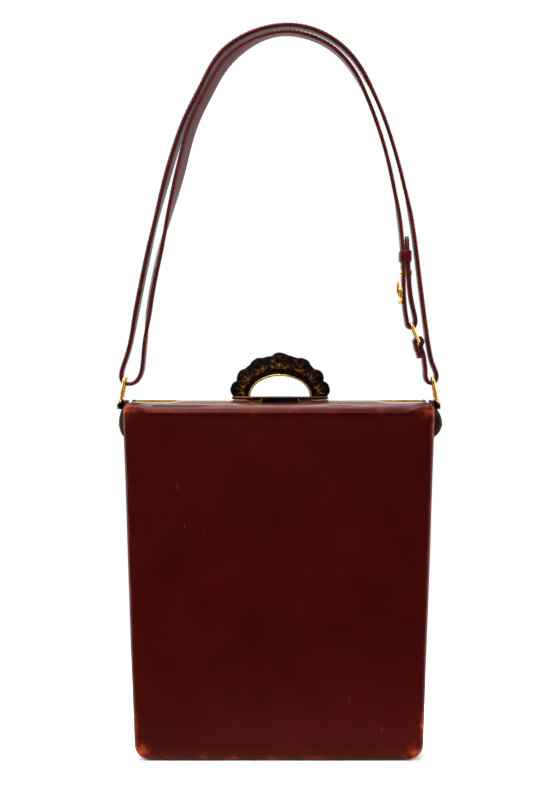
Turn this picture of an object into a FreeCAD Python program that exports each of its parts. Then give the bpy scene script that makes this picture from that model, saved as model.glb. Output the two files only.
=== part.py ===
"""Framed leather doctor bag with a strap, drawn piece by piece.

Millimetres, +Z up, +X to the right of someone who faces the bag, front towards -Y.
The origin is the middle of the base, on the surface that the bag stands on.
"""
import FreeCAD, Part
import math
import os

from FreeCAD import Vector

# ---- body of the bag --------------------------------------------------------------------
BODY_HEIGHT = 273.0        # base to the flat top of the leather
TOP_WIDTH = 241.0
BASE_WIDTH = 220.0
TOP_DEPTH = 44.0
BASE_DEPTH = 90.0
BASE_CORNER_R = 12.0       # corners of the front outline at the base
TOP_CORNER_R = 8.0         # corners of the front outline at the top
BASE_EDGE_R = 6.0          # rounding under the front and back panels
SHOULDER_R = 8.0           # rounding where the panels turn over at the top
LEATHER = 1.6
BOARD = 2.0
LINING = 0.8
WALL = LEATHER + BOARD + LINING
SOFT_GAP = 0.3             # clearance of soft pieces from pieces that move past them

# ---- opening frame ----------------------------------------------------------------------
PIN_DROP = 40.0            # frame hinge pins below the top of the leather
FLEX_BELOW = 4.0           # the soft band of the panels starts this far below the pins
FLEX_ABOVE = 20.0          # and ends this far above them
BAR_DEPTH = 5.0            # one brass bar, front to back
BAR_HEIGHT = 6.0
BAR_PROUD = 1.4            # bars stand above the leather
HALF_GAP = 0.15            # each bar from the middle plane
ARM_THICK = 1.8
ARM_LAYER_GAP = 0.3        # between the front arm and the back arm on one pin
EYE_R = 5.0
FRAME_PIN_R = 1.9
RUNNING = 0.06             # radial clearance of every turning fit

# ---- side tongues, tabs and ring studs --------------------------------------------------
TONGUE_WIDTH = 15.0
TONGUE_RISE = 1.2          # top of the tongue above the top of the leather
TONGUE_SLOT = 0.8          # tongue to the side returns of the covers
PLEAT_THICK = 1.0
PLEAT_REACH = 10.0         # how far a pleat folds inwards
TAB_TOP_DROP = 6.6
TAB_HEIGHT = 23.0
TAB_WIDTH = 20.0
TAB_BULGE = 7.4
TAB_TOP_EDGE = 1.4         # thickness of the tab at its top and at its foot
TAB_FOOT_EDGE = 1.0
RIVET_R = 2.2
STUD_DROP = 3.6            # ring studs below the top of the leather
STUD_R = 1.3
STUD_HEAD_R = 2.4
STUD_HEAD = 0.9
LUG_OUT = 2.3              # middle of the lugs, outside the side of the bag
LUG_THICK = 3.8
LUG_EYE_R = 2.6
LUG_BARREL_R = 1.9
LUG_BARREL = 11.0
LUG_RISE = 4.4             # ring bar above the stud

# ---- rings ------------------------------------------------------------------------------
RING_WIRE_R = 1.1
RING_LENGTH = 18.0         # from the lower bar to the upper bar
RING_LEAN = 10.5           # degrees, tops leaning inwards
RING_SIDE_CLEAR = 0.7      # strap edge to the side bars

# ---- strap ------------------------------------------------------------------------------
STRAP_WIDTH = 20.0
STRAP_THICK = 3.0
LINK_WIRE_R = 1.1
WIRE_BEND_R = 2.0          # middle line at the corners of the wire rings
FOLD_CLEAR = 0.35          # leather to the wire that it goes round
BUCKLE_RISE = 84.4         # middle of the buckle above the top of the leather
BUCKLE_HEIGHT = 17.0
BUCKLE_WIDTH = 25.0
BUCKLE_THICK = 2.0
BUCKLE_BAR = 2.6
PRONG_R = 0.8
PRONG_PIN_R = 0.55
PRONG_HUB_R = 1.0
KEEPER_RISE = 113.0
KEEPER_HEIGHT = 12.0
KEEPER_THICK = 1.0
STRAP_STUD_R = 2.4
STUD_DOME = 1.0            # height of the strap stud's heads

# ---- clasp ------------------------------------------------------------------------------
CLASP_X = 1.0
ARCH_BODY_SIDE = 11.5     # solid part of the arch outside its opening
ARCH_BODY_TOP = 15.5
ARCH_THICK = 5.0
OPENING_HALF = 23.1
OPENING_RISE = 15.9
RIM = 1.4
RIM_THICK = 6.0
PLATE_HALF = 37.5
PLATE_FRONT = 7.0
PLATE_BACK = 4.9
PLATE_THICK = 2.2
PLATE_LIFT = 0.4           # plate above the brass bars
CLASP_PIN_Y = 7.2
CLASP_PIN_R = 0.9
KNUCKLE_R = 1.9
KNUCKLE = 8.0
STRIKE_HALF = 14.0
STRIKE_DEPTH = 3.0
STRIKE_GAP = 0.4
STRIKE_RIVET_R = 0.9
STRIKE_RIVET_HEAD = 0.7

# ---- inside -----------------------------------------------------------------------------
POCKET_THICK = 1.2
SLIP_POCKET_W = 150.0
SLIP_POCKET_H = 110.0
SLIP_POCKET_Z = 60.0
ZIP_POCKET_W = 160.0
ZIP_POCKET_H = 100.0
ZIP_POCKET_Z = 62.0
ZIP_TAPE_W = 24.0
ZIP_CHAIN_W = 5.0
ZIP_CHAIN = 1.2
SLIDER_LENGTH = 9.0
SLIDER_WIDTH = 8.0
SLIDER_THICK = 3.4
EYE_OUT = 1.1              # pull in front of the slider's body
EYE_WIDTH = 2.0
SLIDER_EYE_R = 1.2
AXLE_R = 0.5
PULL_LENGTH = 18.0
PULL_WIDTH = 5.2
PULL_THICK = 1.0
PULL_LEG = 1.0
SHANK_LENGTH = 6.0

# ---- worked out -------------------------------------------------------------------------
PIN_Z = BODY_HEIGHT - PIN_DROP
FLEX_LOW = PIN_Z - FLEX_BELOW
FLEX_HIGH = PIN_Z + FLEX_ABOVE
BAR_TOP = BODY_HEIGHT + BAR_PROUD
TONGUE_TOP = BODY_HEIGHT + TONGUE_RISE
STUD_Z = BODY_HEIGHT - STUD_DROP
RING_BAR_Z = STUD_Z + LUG_RISE
STRIKE_FRONT = -PLATE_FRONT - STRIKE_GAP - STRIKE_DEPTH
FAR = 1000.0               # longer than anything here


def half_width(z):
    """Half of the outer width at a height."""
    return (BASE_WIDTH + (TOP_WIDTH - BASE_WIDTH) * z / BODY_HEIGHT) / 2


def half_depth(z):
    """Half of the outer depth at a height."""
    return (BASE_DEPTH + (TOP_DEPTH - BASE_DEPTH) * z / BODY_HEIGHT) / 2


LUG_X = half_width(STUD_Z) + LUG_OUT
ARM_OUT = half_width(PIN_Z - EYE_R) - WALL - SOFT_GAP


# ---- drawing helpers --------------------------------------------------------------------
def block(x0, x1, y0, y1, z0, z1):
    return Part.makeBox(x1 - x0, y1 - y0, z1 - z0, Vector(x0, y0, z0))


def rod_x(radius, x0, x1, y, z):
    return Part.makeCylinder(radius, x1 - x0, Vector(x0, y, z), Vector(1, 0, 0))


def rod_y(radius, y0, y1, x, z):
    return Part.makeCylinder(radius, y1 - y0, Vector(x, y0, z), Vector(0, 1, 0))


def rounded_face(corners, radii, place):
    """Flat face through 2-D corners, each rounded by its radius; place turns 2-D into 3-D."""
    count = len(corners)
    edges = []
    starts = []
    ends = []
    middles = []
    for index in range(count):
        here = Vector(*corners[index], 0)
        before = (Vector(*corners[index - 1], 0) - here).normalize()
        after = (Vector(*corners[(index + 1) % count], 0) - here).normalize()
        half = before.getAngle(after) / 2
        run = radii[index] / math.tan(half)
        bisector = (before + after).normalize()
        starts.append(here + before * run)
        ends.append(here + after * run)
        middles.append(here + bisector * (radii[index] / math.sin(half) - radii[index]))
    for index in range(count):
        if radii[index] > 0:
            edges.append(Part.Arc(place(starts[index]), place(middles[index]), place(ends[index])).toShape())
        edges.append(Part.LineSegment(place(ends[index]), place(starts[(index + 1) % count])).toShape())
    return Part.Face(Part.Wire(edges))


def in_xz(y):
    return lambda point: Vector(point.x, y, point.y)


def in_yz(x):
    return lambda point: Vector(x, point.x, point.y)


def in_xy(z):
    return lambda point: Vector(point.x, point.y, z)


def plate_xz(corners, y0, y1, radii=None):
    face = rounded_face(corners, radii or [0] * len(corners), in_xz(y0))
    return face.extrude(Vector(0, y1 - y0, 0))


def plate_yz(corners, x0, x1, radii=None):
    face = rounded_face(corners, radii or [0] * len(corners), in_yz(x0))
    return face.extrude(Vector(x1 - x0, 0, 0))


def plate_xy(corners, z0, z1, radii=None):
    face = rounded_face(corners, radii or [0] * len(corners), in_xy(z0))
    return face.extrude(Vector(0, 0, z1 - z0))


def centred(width, height, z):
    """Corners of a rectangle about y = 0 and a height."""
    return [(-width / 2, z - height / 2), (width / 2, z - height / 2),
            (width / 2, z + height / 2), (-width / 2, z + height / 2)]


def mirror_x(shape):
    return shape.mirror(Vector(0, 0, 0), Vector(1, 0, 0))


def mirror_y(shape):
    return shape.mirror(Vector(0, 0, 0), Vector(0, 1, 0))


def save(name, shapes):
    """Writes one node; a list of shapes stays a group of separate solids."""
    if not isinstance(shapes, list):
        shapes = [shapes]
    solids = [solid for shape in shapes for solid in shape.Solids]
    for solid in solids:
        if not solid.isValid() or solid.Volume <= 0:
            raise ValueError(name + " has a bad solid")
    Part.makeCompound(solids).exportStep("parts/" + name + ".step")


# ---- envelope of the bag ----------------------------------------------------------------
def envelope(inset):
    """The bag's outer form, moved inwards on every side by inset."""
    low = inset
    high = BODY_HEIGHT - inset
    front = [(-half_width(low) + inset, low), (half_width(low) - inset, low),
             (half_width(high) - inset, high), (-half_width(high) + inset, high)]
    side = [(-half_depth(low) + inset, low), (half_depth(low) - inset, low),
            (half_depth(high) - inset, high), (-half_depth(high) + inset, high)]
    front_r = [BASE_CORNER_R - inset, BASE_CORNER_R - inset, TOP_CORNER_R - inset, TOP_CORNER_R - inset]
    side_r = [BASE_EDGE_R - inset, BASE_EDGE_R - inset, SHOULDER_R - inset, SHOULDER_R - inset]
    across = plate_xz(front, -FAR, FAR, front_r)
    along = plate_yz(side, -FAR, FAR, side_r)
    return across.common(along)


def front_zone(depth):
    """Everything in front of a plane parallel to the front panel, depth behind it."""
    return plate_yz([(-FAR, -FAR), (-half_depth(-FAR) + depth, -FAR),
                     (-half_depth(FAR) + depth, FAR), (-FAR, FAR)], -FAR, FAR)


def right_zone(depth):
    """Everything to the right of a plane parallel to the right side, depth inside it."""
    return plate_xz([(half_width(-FAR) - depth, -FAR), (FAR, -FAR),
                     (FAR, FAR), (half_width(FAR) - depth, FAR)], -FAR, FAR)


def slice_z(shape, z0, z1):
    return shape.common(block(-FAR, FAR, -FAR, FAR, z0, z1))


def layer(outer, inner, skip):
    """The side, base and top band between two envelopes, without the front and back sheets."""
    band = envelope(outer).cut(envelope(inner))
    band = band.cut(front_zone(skip))
    return band.cut(mirror_y(front_zone(skip)))


def sheet(outer, thick):
    """The front sheet of one layer."""
    return envelope(outer).common(front_zone(outer + thick))


def tongue(outer, thick):
    """One layer of the right tongue that stands up between the two halves of the frame."""
    radius = TONGUE_WIDTH / 2
    outline = plate_yz([(-radius, FLEX_LOW), (radius, FLEX_LOW), (radius, TONGUE_TOP), (-radius, TONGUE_TOP)],
                       0, FAR, [0, 0, radius * 0.99, radius * 0.99])
    return right_zone(outer + thick).cut(right_zone(outer)).common(outline)


def build_body():
    """Leather, board and lining below the hinge pins, and the tongues."""
    seams = {"leather": (0, LEATHER), "board": (LEATHER, BOARD), "lining": (LEATHER + BOARD, LINING)}
    names = {"leather": ("front_panel", "back_panel"), "board": ("front_board", "back_board"),
             "lining": ("front_lining", "back_lining")}
    for layer_name, (outer, thick) in seams.items():
        front = slice_z(sheet(outer, thick), -1, FLEX_LOW)
        save(names[layer_name][0], front)
        save(names[layer_name][1], mirror_y(front))
        band = slice_z(layer(outer, outer + thick, outer + thick), -1, FLEX_LOW)
        base = slice_z(band, -1, BASE_CORNER_R)
        right = slice_z(band, BASE_CORNER_R, FLEX_LOW).common(block(0, FAR, -FAR, FAR, 0, FAR))
        side = right.fuse(tongue(outer, thick)).removeSplitter()
        side = side.cut(rod_x(STUD_R, 0, FAR, 0, STUD_Z))
        if layer_name != "leather":
            side = side.cut(rod_x(FRAME_PIN_R, 0, FAR, 0, PIN_Z))
        if layer_name == "leather":
            save("base_panel", base)
            save("right_gusset", side)
            save("left_gusset", mirror_x(side))
        elif layer_name == "board":
            save("base_board", base)
            save("side_boards", [side, mirror_x(side)])
        else:
            save("base_lining", base)
            save("side_linings", [side, mirror_x(side)])


def build_soft_bands():
    """The band of each panel that bends as the frame opens, and the pleats beside the tongues."""
    band = slice_z(sheet(0, WALL), FLEX_LOW, FLEX_HIGH)
    save("front_flex", band)
    save("back_flex", mirror_y(band))
    outer_x = half_width(FLEX_LOW) - WALL - SOFT_GAP
    y_root = TONGUE_WIDTH / 2 - 0.4
    y_end = y_root + 5.4
    y_fold = (y_root + y_end) / 2
    inner_x = outer_x - PLEAT_REACH
    inside = [(outer_x, -y_root), (inner_x, -y_fold), (outer_x, -y_end)]
    outside = [(outer_x, -y_end + PLEAT_THICK), (inner_x + PLEAT_REACH * 0.34, -y_fold),
               (outer_x, -y_root - PLEAT_THICK)]
    pleat = plate_xy(inside + outside, FLEX_LOW, BODY_HEIGHT - WALL - SOFT_GAP - 2)
    save("front_pleats", [pleat, mirror_x(pleat)])
    save("back_pleats", [mirror_y(pleat), mirror_y(mirror_x(pleat))])


def frame_cover(outer, thick):
    """One layer of the front half's cover: front, shoulder, top and the two side returns."""
    cover = envelope(outer).cut(envelope(outer + thick))
    cover = slice_z(cover, FLEX_HIGH, FAR)
    cover = cover.common(block(-FAR, FAR, -FAR, -BAR_DEPTH, 0, FAR))
    slot = TONGUE_WIDTH / 2 + TONGUE_SLOT
    side = right_zone(WALL + SOFT_GAP).common(block(0, FAR, -slot, slot, 0, FAR))
    return cover.cut(side).cut(mirror_x(side))


def frame_bar(arm_outer):
    """Front bar with its two arms; arm_outer is the outside face of the arms."""
    arm_inner = arm_outer - ARM_THICK
    bar = block(-arm_outer, arm_outer, -BAR_DEPTH, -HALF_GAP, BAR_TOP - BAR_HEIGHT, BAR_TOP)
    arm = block(arm_inner, arm_outer, -BAR_DEPTH, -2 * HALF_GAP, PIN_Z, BAR_TOP - BAR_HEIGHT / 2)
    arm = arm.fuse(rod_x(EYE_R, arm_inner, arm_outer, 0, PIN_Z))
    arm = arm.cut(rod_x(FRAME_PIN_R + RUNNING, 0, FAR, 0, PIN_Z))
    return bar.fuse(arm).fuse(mirror_x(arm)).removeSplitter()


def strike_rivets():
    """Two rivets that hold the strike, with their heads under the lining."""
    rivets = []
    for side in (-1, 1):
        foot = Vector(CLASP_X + side * STRIKE_HALF * 0.7, STRIKE_FRONT + STRIKE_DEPTH / 2, BODY_HEIGHT - WALL)
        shank = Part.makeCylinder(STRIKE_RIVET_R, WALL, foot)
        under = foot - Vector(0, 0, STRIKE_RIVET_HEAD)
        head = Part.makeCylinder(2 * STRIKE_RIVET_R, STRIKE_RIVET_HEAD, under)
        rivets.append(shank.fuse(head))
    return rivets


def build_frame():
    """Both halves of the frame with their covers, and the pins they turn on."""
    for half in ("front", "back"):
        turn = mirror_y if half == "back" else (lambda shape: shape)
        arm_outer = ARM_OUT if half == "front" else ARM_OUT - ARM_THICK - ARM_LAYER_GAP
        save(half + "_frame_bar", turn(frame_bar(arm_outer)))
        for name, outer, thick in (("_cover", 0, LEATHER), ("_cover_board", LEATHER, BOARD),
                                   ("_cover_lining", LEATHER + BOARD, LINING)):
            cover = frame_cover(outer, thick)
            if half == "front":
                for rivet in strike_rivets():
                    cover = cover.cut(rivet)
            save(half + name, turn(cover))
    save("strike_rivets", strike_rivets())
    pin_in = ARM_OUT - 2 * ARM_THICK - ARM_LAYER_GAP
    washer = rod_x(FRAME_PIN_R + 1.2, pin_in - 1.0, pin_in - ARM_LAYER_GAP, 0, PIN_Z)
    pin = rod_x(FRAME_PIN_R, pin_in - ARM_LAYER_GAP, FAR, 0, PIN_Z).cut(right_zone(LEATHER)).fuse(washer)
    save("frame_pins", [pin, mirror_x(pin)])


# ---- side tabs, studs, lugs and rings ---------------------------------------------------
def build_tabs():
    """Leaf-shaped leather tabs on the tongues, their rivets and the studs for the lugs."""
    top = BODY_HEIGHT - TAB_TOP_DROP
    middle = top - TAB_HEIGHT * 0.55
    foot = top - TAB_HEIGHT
    outer_top = Vector(half_width(top) + TAB_TOP_EDGE, 0, top)
    crown = Vector(half_width(middle) + TAB_BULGE, 0, middle)
    outer_foot = Vector(half_width(foot) + TAB_FOOT_EDGE, 0, foot)
    inner_foot = Vector(half_width(foot), 0, foot)
    inner_top = Vector(half_width(top), 0, top)
    face = Part.Face(Part.Wire([Part.Arc(outer_top, crown, outer_foot).toShape(),
                                Part.LineSegment(outer_foot, inner_foot).toShape(),
                                Part.LineSegment(inner_foot, inner_top).toShape(),
                                Part.LineSegment(inner_top, outer_top).toShape()]))
    slab = face.extrude(Vector(0, TAB_WIDTH, 0))
    slab.translate(Vector(0, -TAB_WIDTH / 2, 0))
    leaf = plate_yz(centred(TAB_WIDTH, TAB_HEIGHT, (top + foot) / 2), 0, FAR,
                    [TAB_WIDTH * 0.45, TAB_WIDTH * 0.45, TAB_WIDTH * 0.3, TAB_WIDTH * 0.3])
    shoulder = block(0, FAR, -FAR, FAR, 0, FAR).cut(right_zone(-SOFT_GAP))
    wide = block(0, FAR, -FAR, -TONGUE_WIDTH / 2, 0, FAR).fuse(block(0, FAR, TONGUE_WIDTH / 2, FAR, 0, FAR))
    tab = slab.common(leaf).cut(shoulder.common(wide))
    rivet_z = top - TAB_HEIGHT * 0.5
    shank = rod_x(RIVET_R * 0.5, half_width(rivet_z) - LEATHER, FAR, 0, rivet_z).common(slab)
    tab = tab.cut(rod_x(RIVET_R * 0.5, 0, FAR, 0, rivet_z))
    head = Part.makeSphere(RIVET_R, Vector(half_width(rivet_z) + TAB_BULGE - 1.1, 0, rivet_z)).cut(slab)
    rivet = shank.fuse(head)
    save("right_tab", tab)
    save("left_tab", mirror_x(tab))
    rivet = rivet.cut(block(0, half_width(rivet_z), -FAR, FAR, 0, FAR))
    save("tab_rivets", [rivet, mirror_x(rivet)])
    stud_out = LUG_X + LUG_THICK / 2 + ARM_LAYER_GAP
    stud = rod_x(STUD_R, half_width(STUD_Z) - WALL, stud_out, 0, STUD_Z)
    stud = stud.fuse(rod_x(STUD_HEAD_R, stud_out, stud_out + STUD_HEAD, 0, STUD_Z))
    save("ring_studs", [stud, mirror_x(stud)])


def build_lugs():
    """Swivel lugs that turn on the studs and hold the lower bars of the rings."""
    x0 = LUG_X - LUG_THICK / 2
    x1 = LUG_X + LUG_THICK / 2
    eye = rod_x(LUG_EYE_R, x0, x1, 0, STUD_Z)
    barrel = rod_y(LUG_BARREL_R, -LUG_BARREL / 2, LUG_BARREL / 2, LUG_X, RING_BAR_Z)
    neck = block(x0, x1, -LUG_EYE_R, LUG_EYE_R, STUD_Z, RING_BAR_Z)
    lug = eye.fuse(neck).fuse(barrel)
    lug = lug.cut(rod_x(STUD_R + RUNNING, 0, FAR, 0, STUD_Z))
    lug = lug.cut(rod_y(RING_WIRE_R + RUNNING, -FAR, FAR, LUG_X, RING_BAR_Z))
    lug = lug.cut(block(0, FAR, -LUG_EYE_R - 0.01, LUG_EYE_R + 0.01, RING_BAR_Z, RING_BAR_Z + LUG_BARREL_R)
                  .cut(rod_y(LUG_BARREL_R, -FAR, FAR, LUG_X, RING_BAR_Z)))
    save("right_lug", lug)
    save("left_lug", mirror_x(lug))


def wire_ring(low, high, half_span, radius):
    """Rectangular ring of round wire: bars along Y at low and high (x, z), sides between them."""
    length = math.hypot(high[0] - low[0], high[1] - low[1])
    corners = [(-half_span, 0), (half_span, 0), (half_span, length), (-half_span, length)]
    path = rounded_face(corners, [WIRE_BEND_R] * 4, in_yz(0)).OuterWire
    start = path.OrderedEdges[0]
    at = start.valueAt(start.FirstParameter)
    section = Part.Wire(Part.Circle(at, start.tangentAt(start.FirstParameter), radius).toShape())
    ring = path.makePipeShell([section], True, True)
    lean = math.degrees(math.atan2(high[0] - low[0], high[1] - low[1]))
    ring.rotate(Vector(0, 0, 0), Vector(0, 1, 0), lean)
    ring.translate(Vector(low[0], 0, low[1]))
    return ring


RING_TOP = (LUG_X - RING_LENGTH * math.sin(math.radians(RING_LEAN)),
            RING_BAR_Z + RING_LENGTH * math.cos(math.radians(RING_LEAN)))


def build_rings():
    half_span = STRAP_WIDTH / 2 + RING_SIDE_CLEAR + RING_WIRE_R
    ring = wire_ring((LUG_X, RING_BAR_Z), RING_TOP, half_span, RING_WIRE_R)
    save("right_ring", ring)
    save("left_ring", mirror_x(ring))
    save("link_ring", wire_ring(LINK_BOTTOM, LINK_TOP, half_span, LINK_WIRE_R))


# ---- strap ------------------------------------------------------------------------------
def ribbon(curve, start, end, count):
    """Length of flat strap along the curve, between its points start and end (x, z)."""
    steps = 3 * count
    first = curve.parameter(Vector(start[0], 0, start[1]))
    span = curve.parameter(Vector(end[0], 0, end[1])) - first
    left = []
    right = []
    for step in range(steps + 1):
        at = first + span * step / steps
        here = curve.value(at)
        along = Vector(*curve.tangent(at)[0]).normalize()
        side = Vector(along.z, 0, -along.x) * (STRAP_THICK / 2)
        left.append(here + side)
        right.append(here - side)
    edge_a = Part.BSplineCurve()
    edge_a.interpolate(left)
    edge_b = Part.BSplineCurve()
    edge_b.interpolate(right)
    wire = Part.Wire([edge_a.toShape(), Part.LineSegment(left[-1], right[-1]).toShape(),
                      edge_b.toShape(), Part.LineSegment(right[0], left[0]).toShape()])
    band = Part.Face(wire).extrude(Vector(0, STRAP_WIDTH, 0))
    band.translate(Vector(0, -STRAP_WIDTH / 2, 0))
    return band


def arc_points(centre, radius, start, end, count):
    """Points of an arc about centre, angles in degrees from +X towards +Z."""
    angles = [math.radians(start + (end - start) * index / (count - 1)) for index in range(count)]
    return [(centre[0] + radius * math.cos(a), centre[1] + radius * math.sin(a)) for a in angles]


LINK_TURN_R = LINK_WIRE_R + FOLD_CLEAR + STRAP_THICK / 2

# The strap's points are (distance from the middle, height above the top of the leather), drawn
# for rings STRAP_SPREAD from the middle; placed() moves them with the rings, less towards the top.
STRAP_SPREAD = 119.0
SPREAD_END = 250.0         # from this height up the points keep their distance


def placed(points, side):
    """Strap points of the right (1) or left (-1) leg in the bag's own place."""
    moved = []
    for x, rise in points:
        weight = max(0.0, 1 - max(rise, 0) / SPREAD_END)
        moved.append((side * (x + (RING_TOP[0] - STRAP_SPREAD) * weight), BODY_HEIGHT + rise))
    return moved


def round_ring(points, side):
    """Strap points given from the ring's upper bar: outwards, upwards."""
    return [(side * (RING_TOP[0] + out), RING_TOP[1] + up) for out, up in points]


LINK_TOP, LINK_BOTTOM = placed([(102.5, 60.5), (108.2, 46.5)], 1)
BUCKLE_Z = BODY_HEIGHT + BUCKLE_RISE
KEEPER_Z = BODY_HEIGHT + KEEPER_RISE

# middle line of the outer layer, from the sewn flap at the link ring round the right ring and over
# to the left ring
FLAP = placed([(108.9, 33.8), (107.9, 37.8), (106.5, 41.4)], 1)
RETURN_EYE = arc_points(LINK_BOTTOM, LINK_TURN_R, 215, -40, 9)
RETURN = placed([(111.5, 38.1), (112.7, 31.1)], 1)
RIGHT_TURN = round_ring([(-5.6, 6.1), (-5.0, -0.4), (-2.3, -3.8), (1.0, -3.4), (3.0, -0.2), (2.7, 4.1)], 1)
RIGHT_LEG = placed([(119.4, 28.5), (116.9, 38.0), (114.6, 52.0), (112.6, 67.0), (110.3, 85.0),
                    (107.2, 110.0), (102.8, 141.0), (96.2, 173.0), (87.6, 204.0), (79.4, 227.0),
                    (70.8, 245.5), (58.5, 265.5)], 1)
OVER_TOP = placed([(44.5, 279.0), (26.5, 288.3), (6.2, 291.6), (-14.0, 288.3), (-32.0, 279.5)], 1)
LEFT_LEG = placed([(45.6, 267.8), (58.6, 245.5), (71.6, 219.6), (82.8, 188.5), (91.3, 157.5), (98.9, 126.5),
                   (105.6, 95.0), (111.6, 64.0), (117.0, 38.0)], -1)
LEFT_TURN = round_ring([(1.3, 9.6), (3.0, 2.6), (2.3, -1.8), (-1.6, -4.5), (-7.0, -3.8), (-11.2, 0.8)], -1)
# middle line of the inner layer, back over the top, round the link ring and up to the tail's end
INNER_LEFT = placed([(105.6, 27.0), (104.6, 37.0), (102.4, 57.0), (99.4, 79.0), (94.6, 105.0), (88.4, 132.0),
                     (82.2, 157.0), (74.6, 187.0), (66.2, 216.5), (54.0, 242.0), (42.0, 262.0)], -1)
INNER_TOP = placed([(-29.0, 274.2), (-12.6, 282.8), (6.2, 286.2), (25.0, 282.8), (41.0, 274.6)], 1)
INNER_RIGHT = placed([(54.0, 262.0), (66.0, 242.2), (74.0, 223.0), (80.4, 204.0), (88.2, 173.0),
                      (93.4, 143.0), (95.8, 119.0), (96.6, 95.0), (97.2, 77.0), (98.4, 67.0)], 1)
LINK_TURN = arc_points(LINK_TOP, LINK_TURN_R, 180, 350, 6)
TAIL = placed([(105.0, 68.0), (102.8, 78.0), (101.0, 93.0), (100.0, 111.0), (99.2, 128.5)], 1)


def strap_stud():
    """Shank and heads of the stud through the inner length and the tail, between buckle and keeper."""
    stud_z = (BUCKLE_Z + BUCKLE_HEIGHT / 2 + KEEPER_Z - KEEPER_HEIGHT / 2) / 2
    faces = [layer_x(INNER_RIGHT, stud_z) - STRAP_THICK / 2, layer_x(TAIL, stud_z) + STRAP_THICK / 2]
    shank = rod_x(STRAP_STUD_R / 2, faces[0] - STUD_DOME / 2, faces[1] + STUD_DOME / 2, 0, stud_z)
    heads = []
    for x in faces:
        ball = Part.makeSphere(STRAP_STUD_R, Vector(x, 0, stud_z))
        heads.append(ball.common(block(x - STUD_DOME, x + STUD_DOME, -FAR, FAR, 0, FAR)))
    return shank, heads[0].fuse(heads[1])


def build_strap():
    """One doubled strap on one middle line, saved in four lengths that meet end to end."""
    lengths = {"strap_return": FLAP + RETURN_EYE + RETURN,
               "strap_outer": RIGHT_TURN + RIGHT_LEG + OVER_TOP + LEFT_LEG + LEFT_TURN,
               "strap_inner": INNER_LEFT + INNER_TOP + INNER_RIGHT,
               "strap_tail": LINK_TURN + TAIL}
    line = [point for length in lengths.values() for point in length]
    curve = Part.BSplineCurve()
    curve.interpolate([Vector(x, 0, z) for x, z in line])
    shank, heads = strap_stud()
    start = line[0]
    for name, points in lengths.items():
        band = ribbon(curve, start, points[-1], len(points))
        if name in ("strap_inner", "strap_tail"):
            heads = heads.cut(band)
            band = band.cut(shank)
        save(name, band)
        start = points[-1]
    save("strap_stud", shank.fuse(heads).removeSplitter())


def layer_x(points, z):
    """x of a middle line at a height, between its two nearest points."""
    for (x0, z0), (x1, z1) in zip(points, points[1:]):
        if min(z0, z1) <= z <= max(z0, z1):
            return x0 + (x1 - x0) * (z - z0) / (z1 - z0)
    raise ValueError("height off the strap")


def build_hardware():
    """Buckle, prong and keeper that hold the strap at its length."""
    face_x = min(layer_x(INNER_RIGHT, BUCKLE_Z + side * BUCKLE_HEIGHT / 2) for side in (-1, 1))
    x1 = face_x - STRAP_THICK / 2 - 0.1
    x0 = x1 - BUCKLE_THICK
    outline = plate_yz(centred(BUCKLE_WIDTH, BUCKLE_HEIGHT, BUCKLE_Z), x0, x1, [BUCKLE_HEIGHT * 0.4] * 4)
    window = plate_yz(centred(BUCKLE_WIDTH - 2 * BUCKLE_BAR, BUCKLE_HEIGHT - 2 * BUCKLE_BAR, BUCKLE_Z),
                      x0 - 1, x1 + 1, [BUCKLE_HEIGHT * 0.4 - BUCKLE_BAR] * 4)
    bar_x = (x0 + x1) / 2
    prong_pin = rod_y(PRONG_PIN_R, -BUCKLE_WIDTH / 2 + 1, BUCKLE_WIDTH / 2 - 1, bar_x, BUCKLE_Z)
    save("buckle_frame", outline.cut(window).fuse(prong_pin))
    tip_z = BUCKLE_Z + BUCKLE_HEIGHT / 2
    prong = rod_y(PRONG_HUB_R, -1.5, 1.5, bar_x, BUCKLE_Z)
    shaft_x = x0 - PRONG_R - 0.15
    prong = prong.fuse(block(shaft_x, bar_x, -PRONG_R, PRONG_R, BUCKLE_Z - PRONG_R, BUCKLE_Z + PRONG_R))
    shaft = Part.makeCylinder(PRONG_R, tip_z - BUCKLE_Z, Vector(shaft_x, 0, BUCKLE_Z))
    shaft = shaft.fuse(Part.makeSphere(PRONG_R, Vector(shaft_x, 0, tip_z)))
    prong = prong.fuse(shaft).cut(rod_y(PRONG_PIN_R + RUNNING, -FAR, FAR, bar_x, BUCKLE_Z))
    save("buckle_prong", prong)
    low = KEEPER_Z - KEEPER_HEIGHT / 2
    high = KEEPER_Z + KEEPER_HEIGHT / 2
    left = min(layer_x(INNER_RIGHT, low), layer_x(INNER_RIGHT, high)) - STRAP_THICK / 2 - SOFT_GAP
    right = max(layer_x(TAIL, low), layer_x(TAIL, high)) + STRAP_THICK / 2 + SOFT_GAP
    half = STRAP_WIDTH / 2 + SOFT_GAP
    hole = block(left, right, -half, half, low - 1, high + 1)
    left = left - KEEPER_THICK
    right = right + KEEPER_THICK
    half = half + KEEPER_THICK
    save("strap_keeper", block(left, right, -half, half, low, high).cut(hole))


# ---- clasp ------------------------------------------------------------------------------
PLATE_LOW = BAR_TOP + PLATE_LIFT
PLATE_TOP = PLATE_LOW + PLATE_THICK
CLASP_PIN_Z = BODY_HEIGHT + KNUCKLE_R + PLATE_LIFT
LOBES = [(0.0, 25.1, 9.5), (15.5, 21.0, 8.5), (26.4, 13.6, 8.0), (32.0, 5.0, 6.8)]


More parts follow.
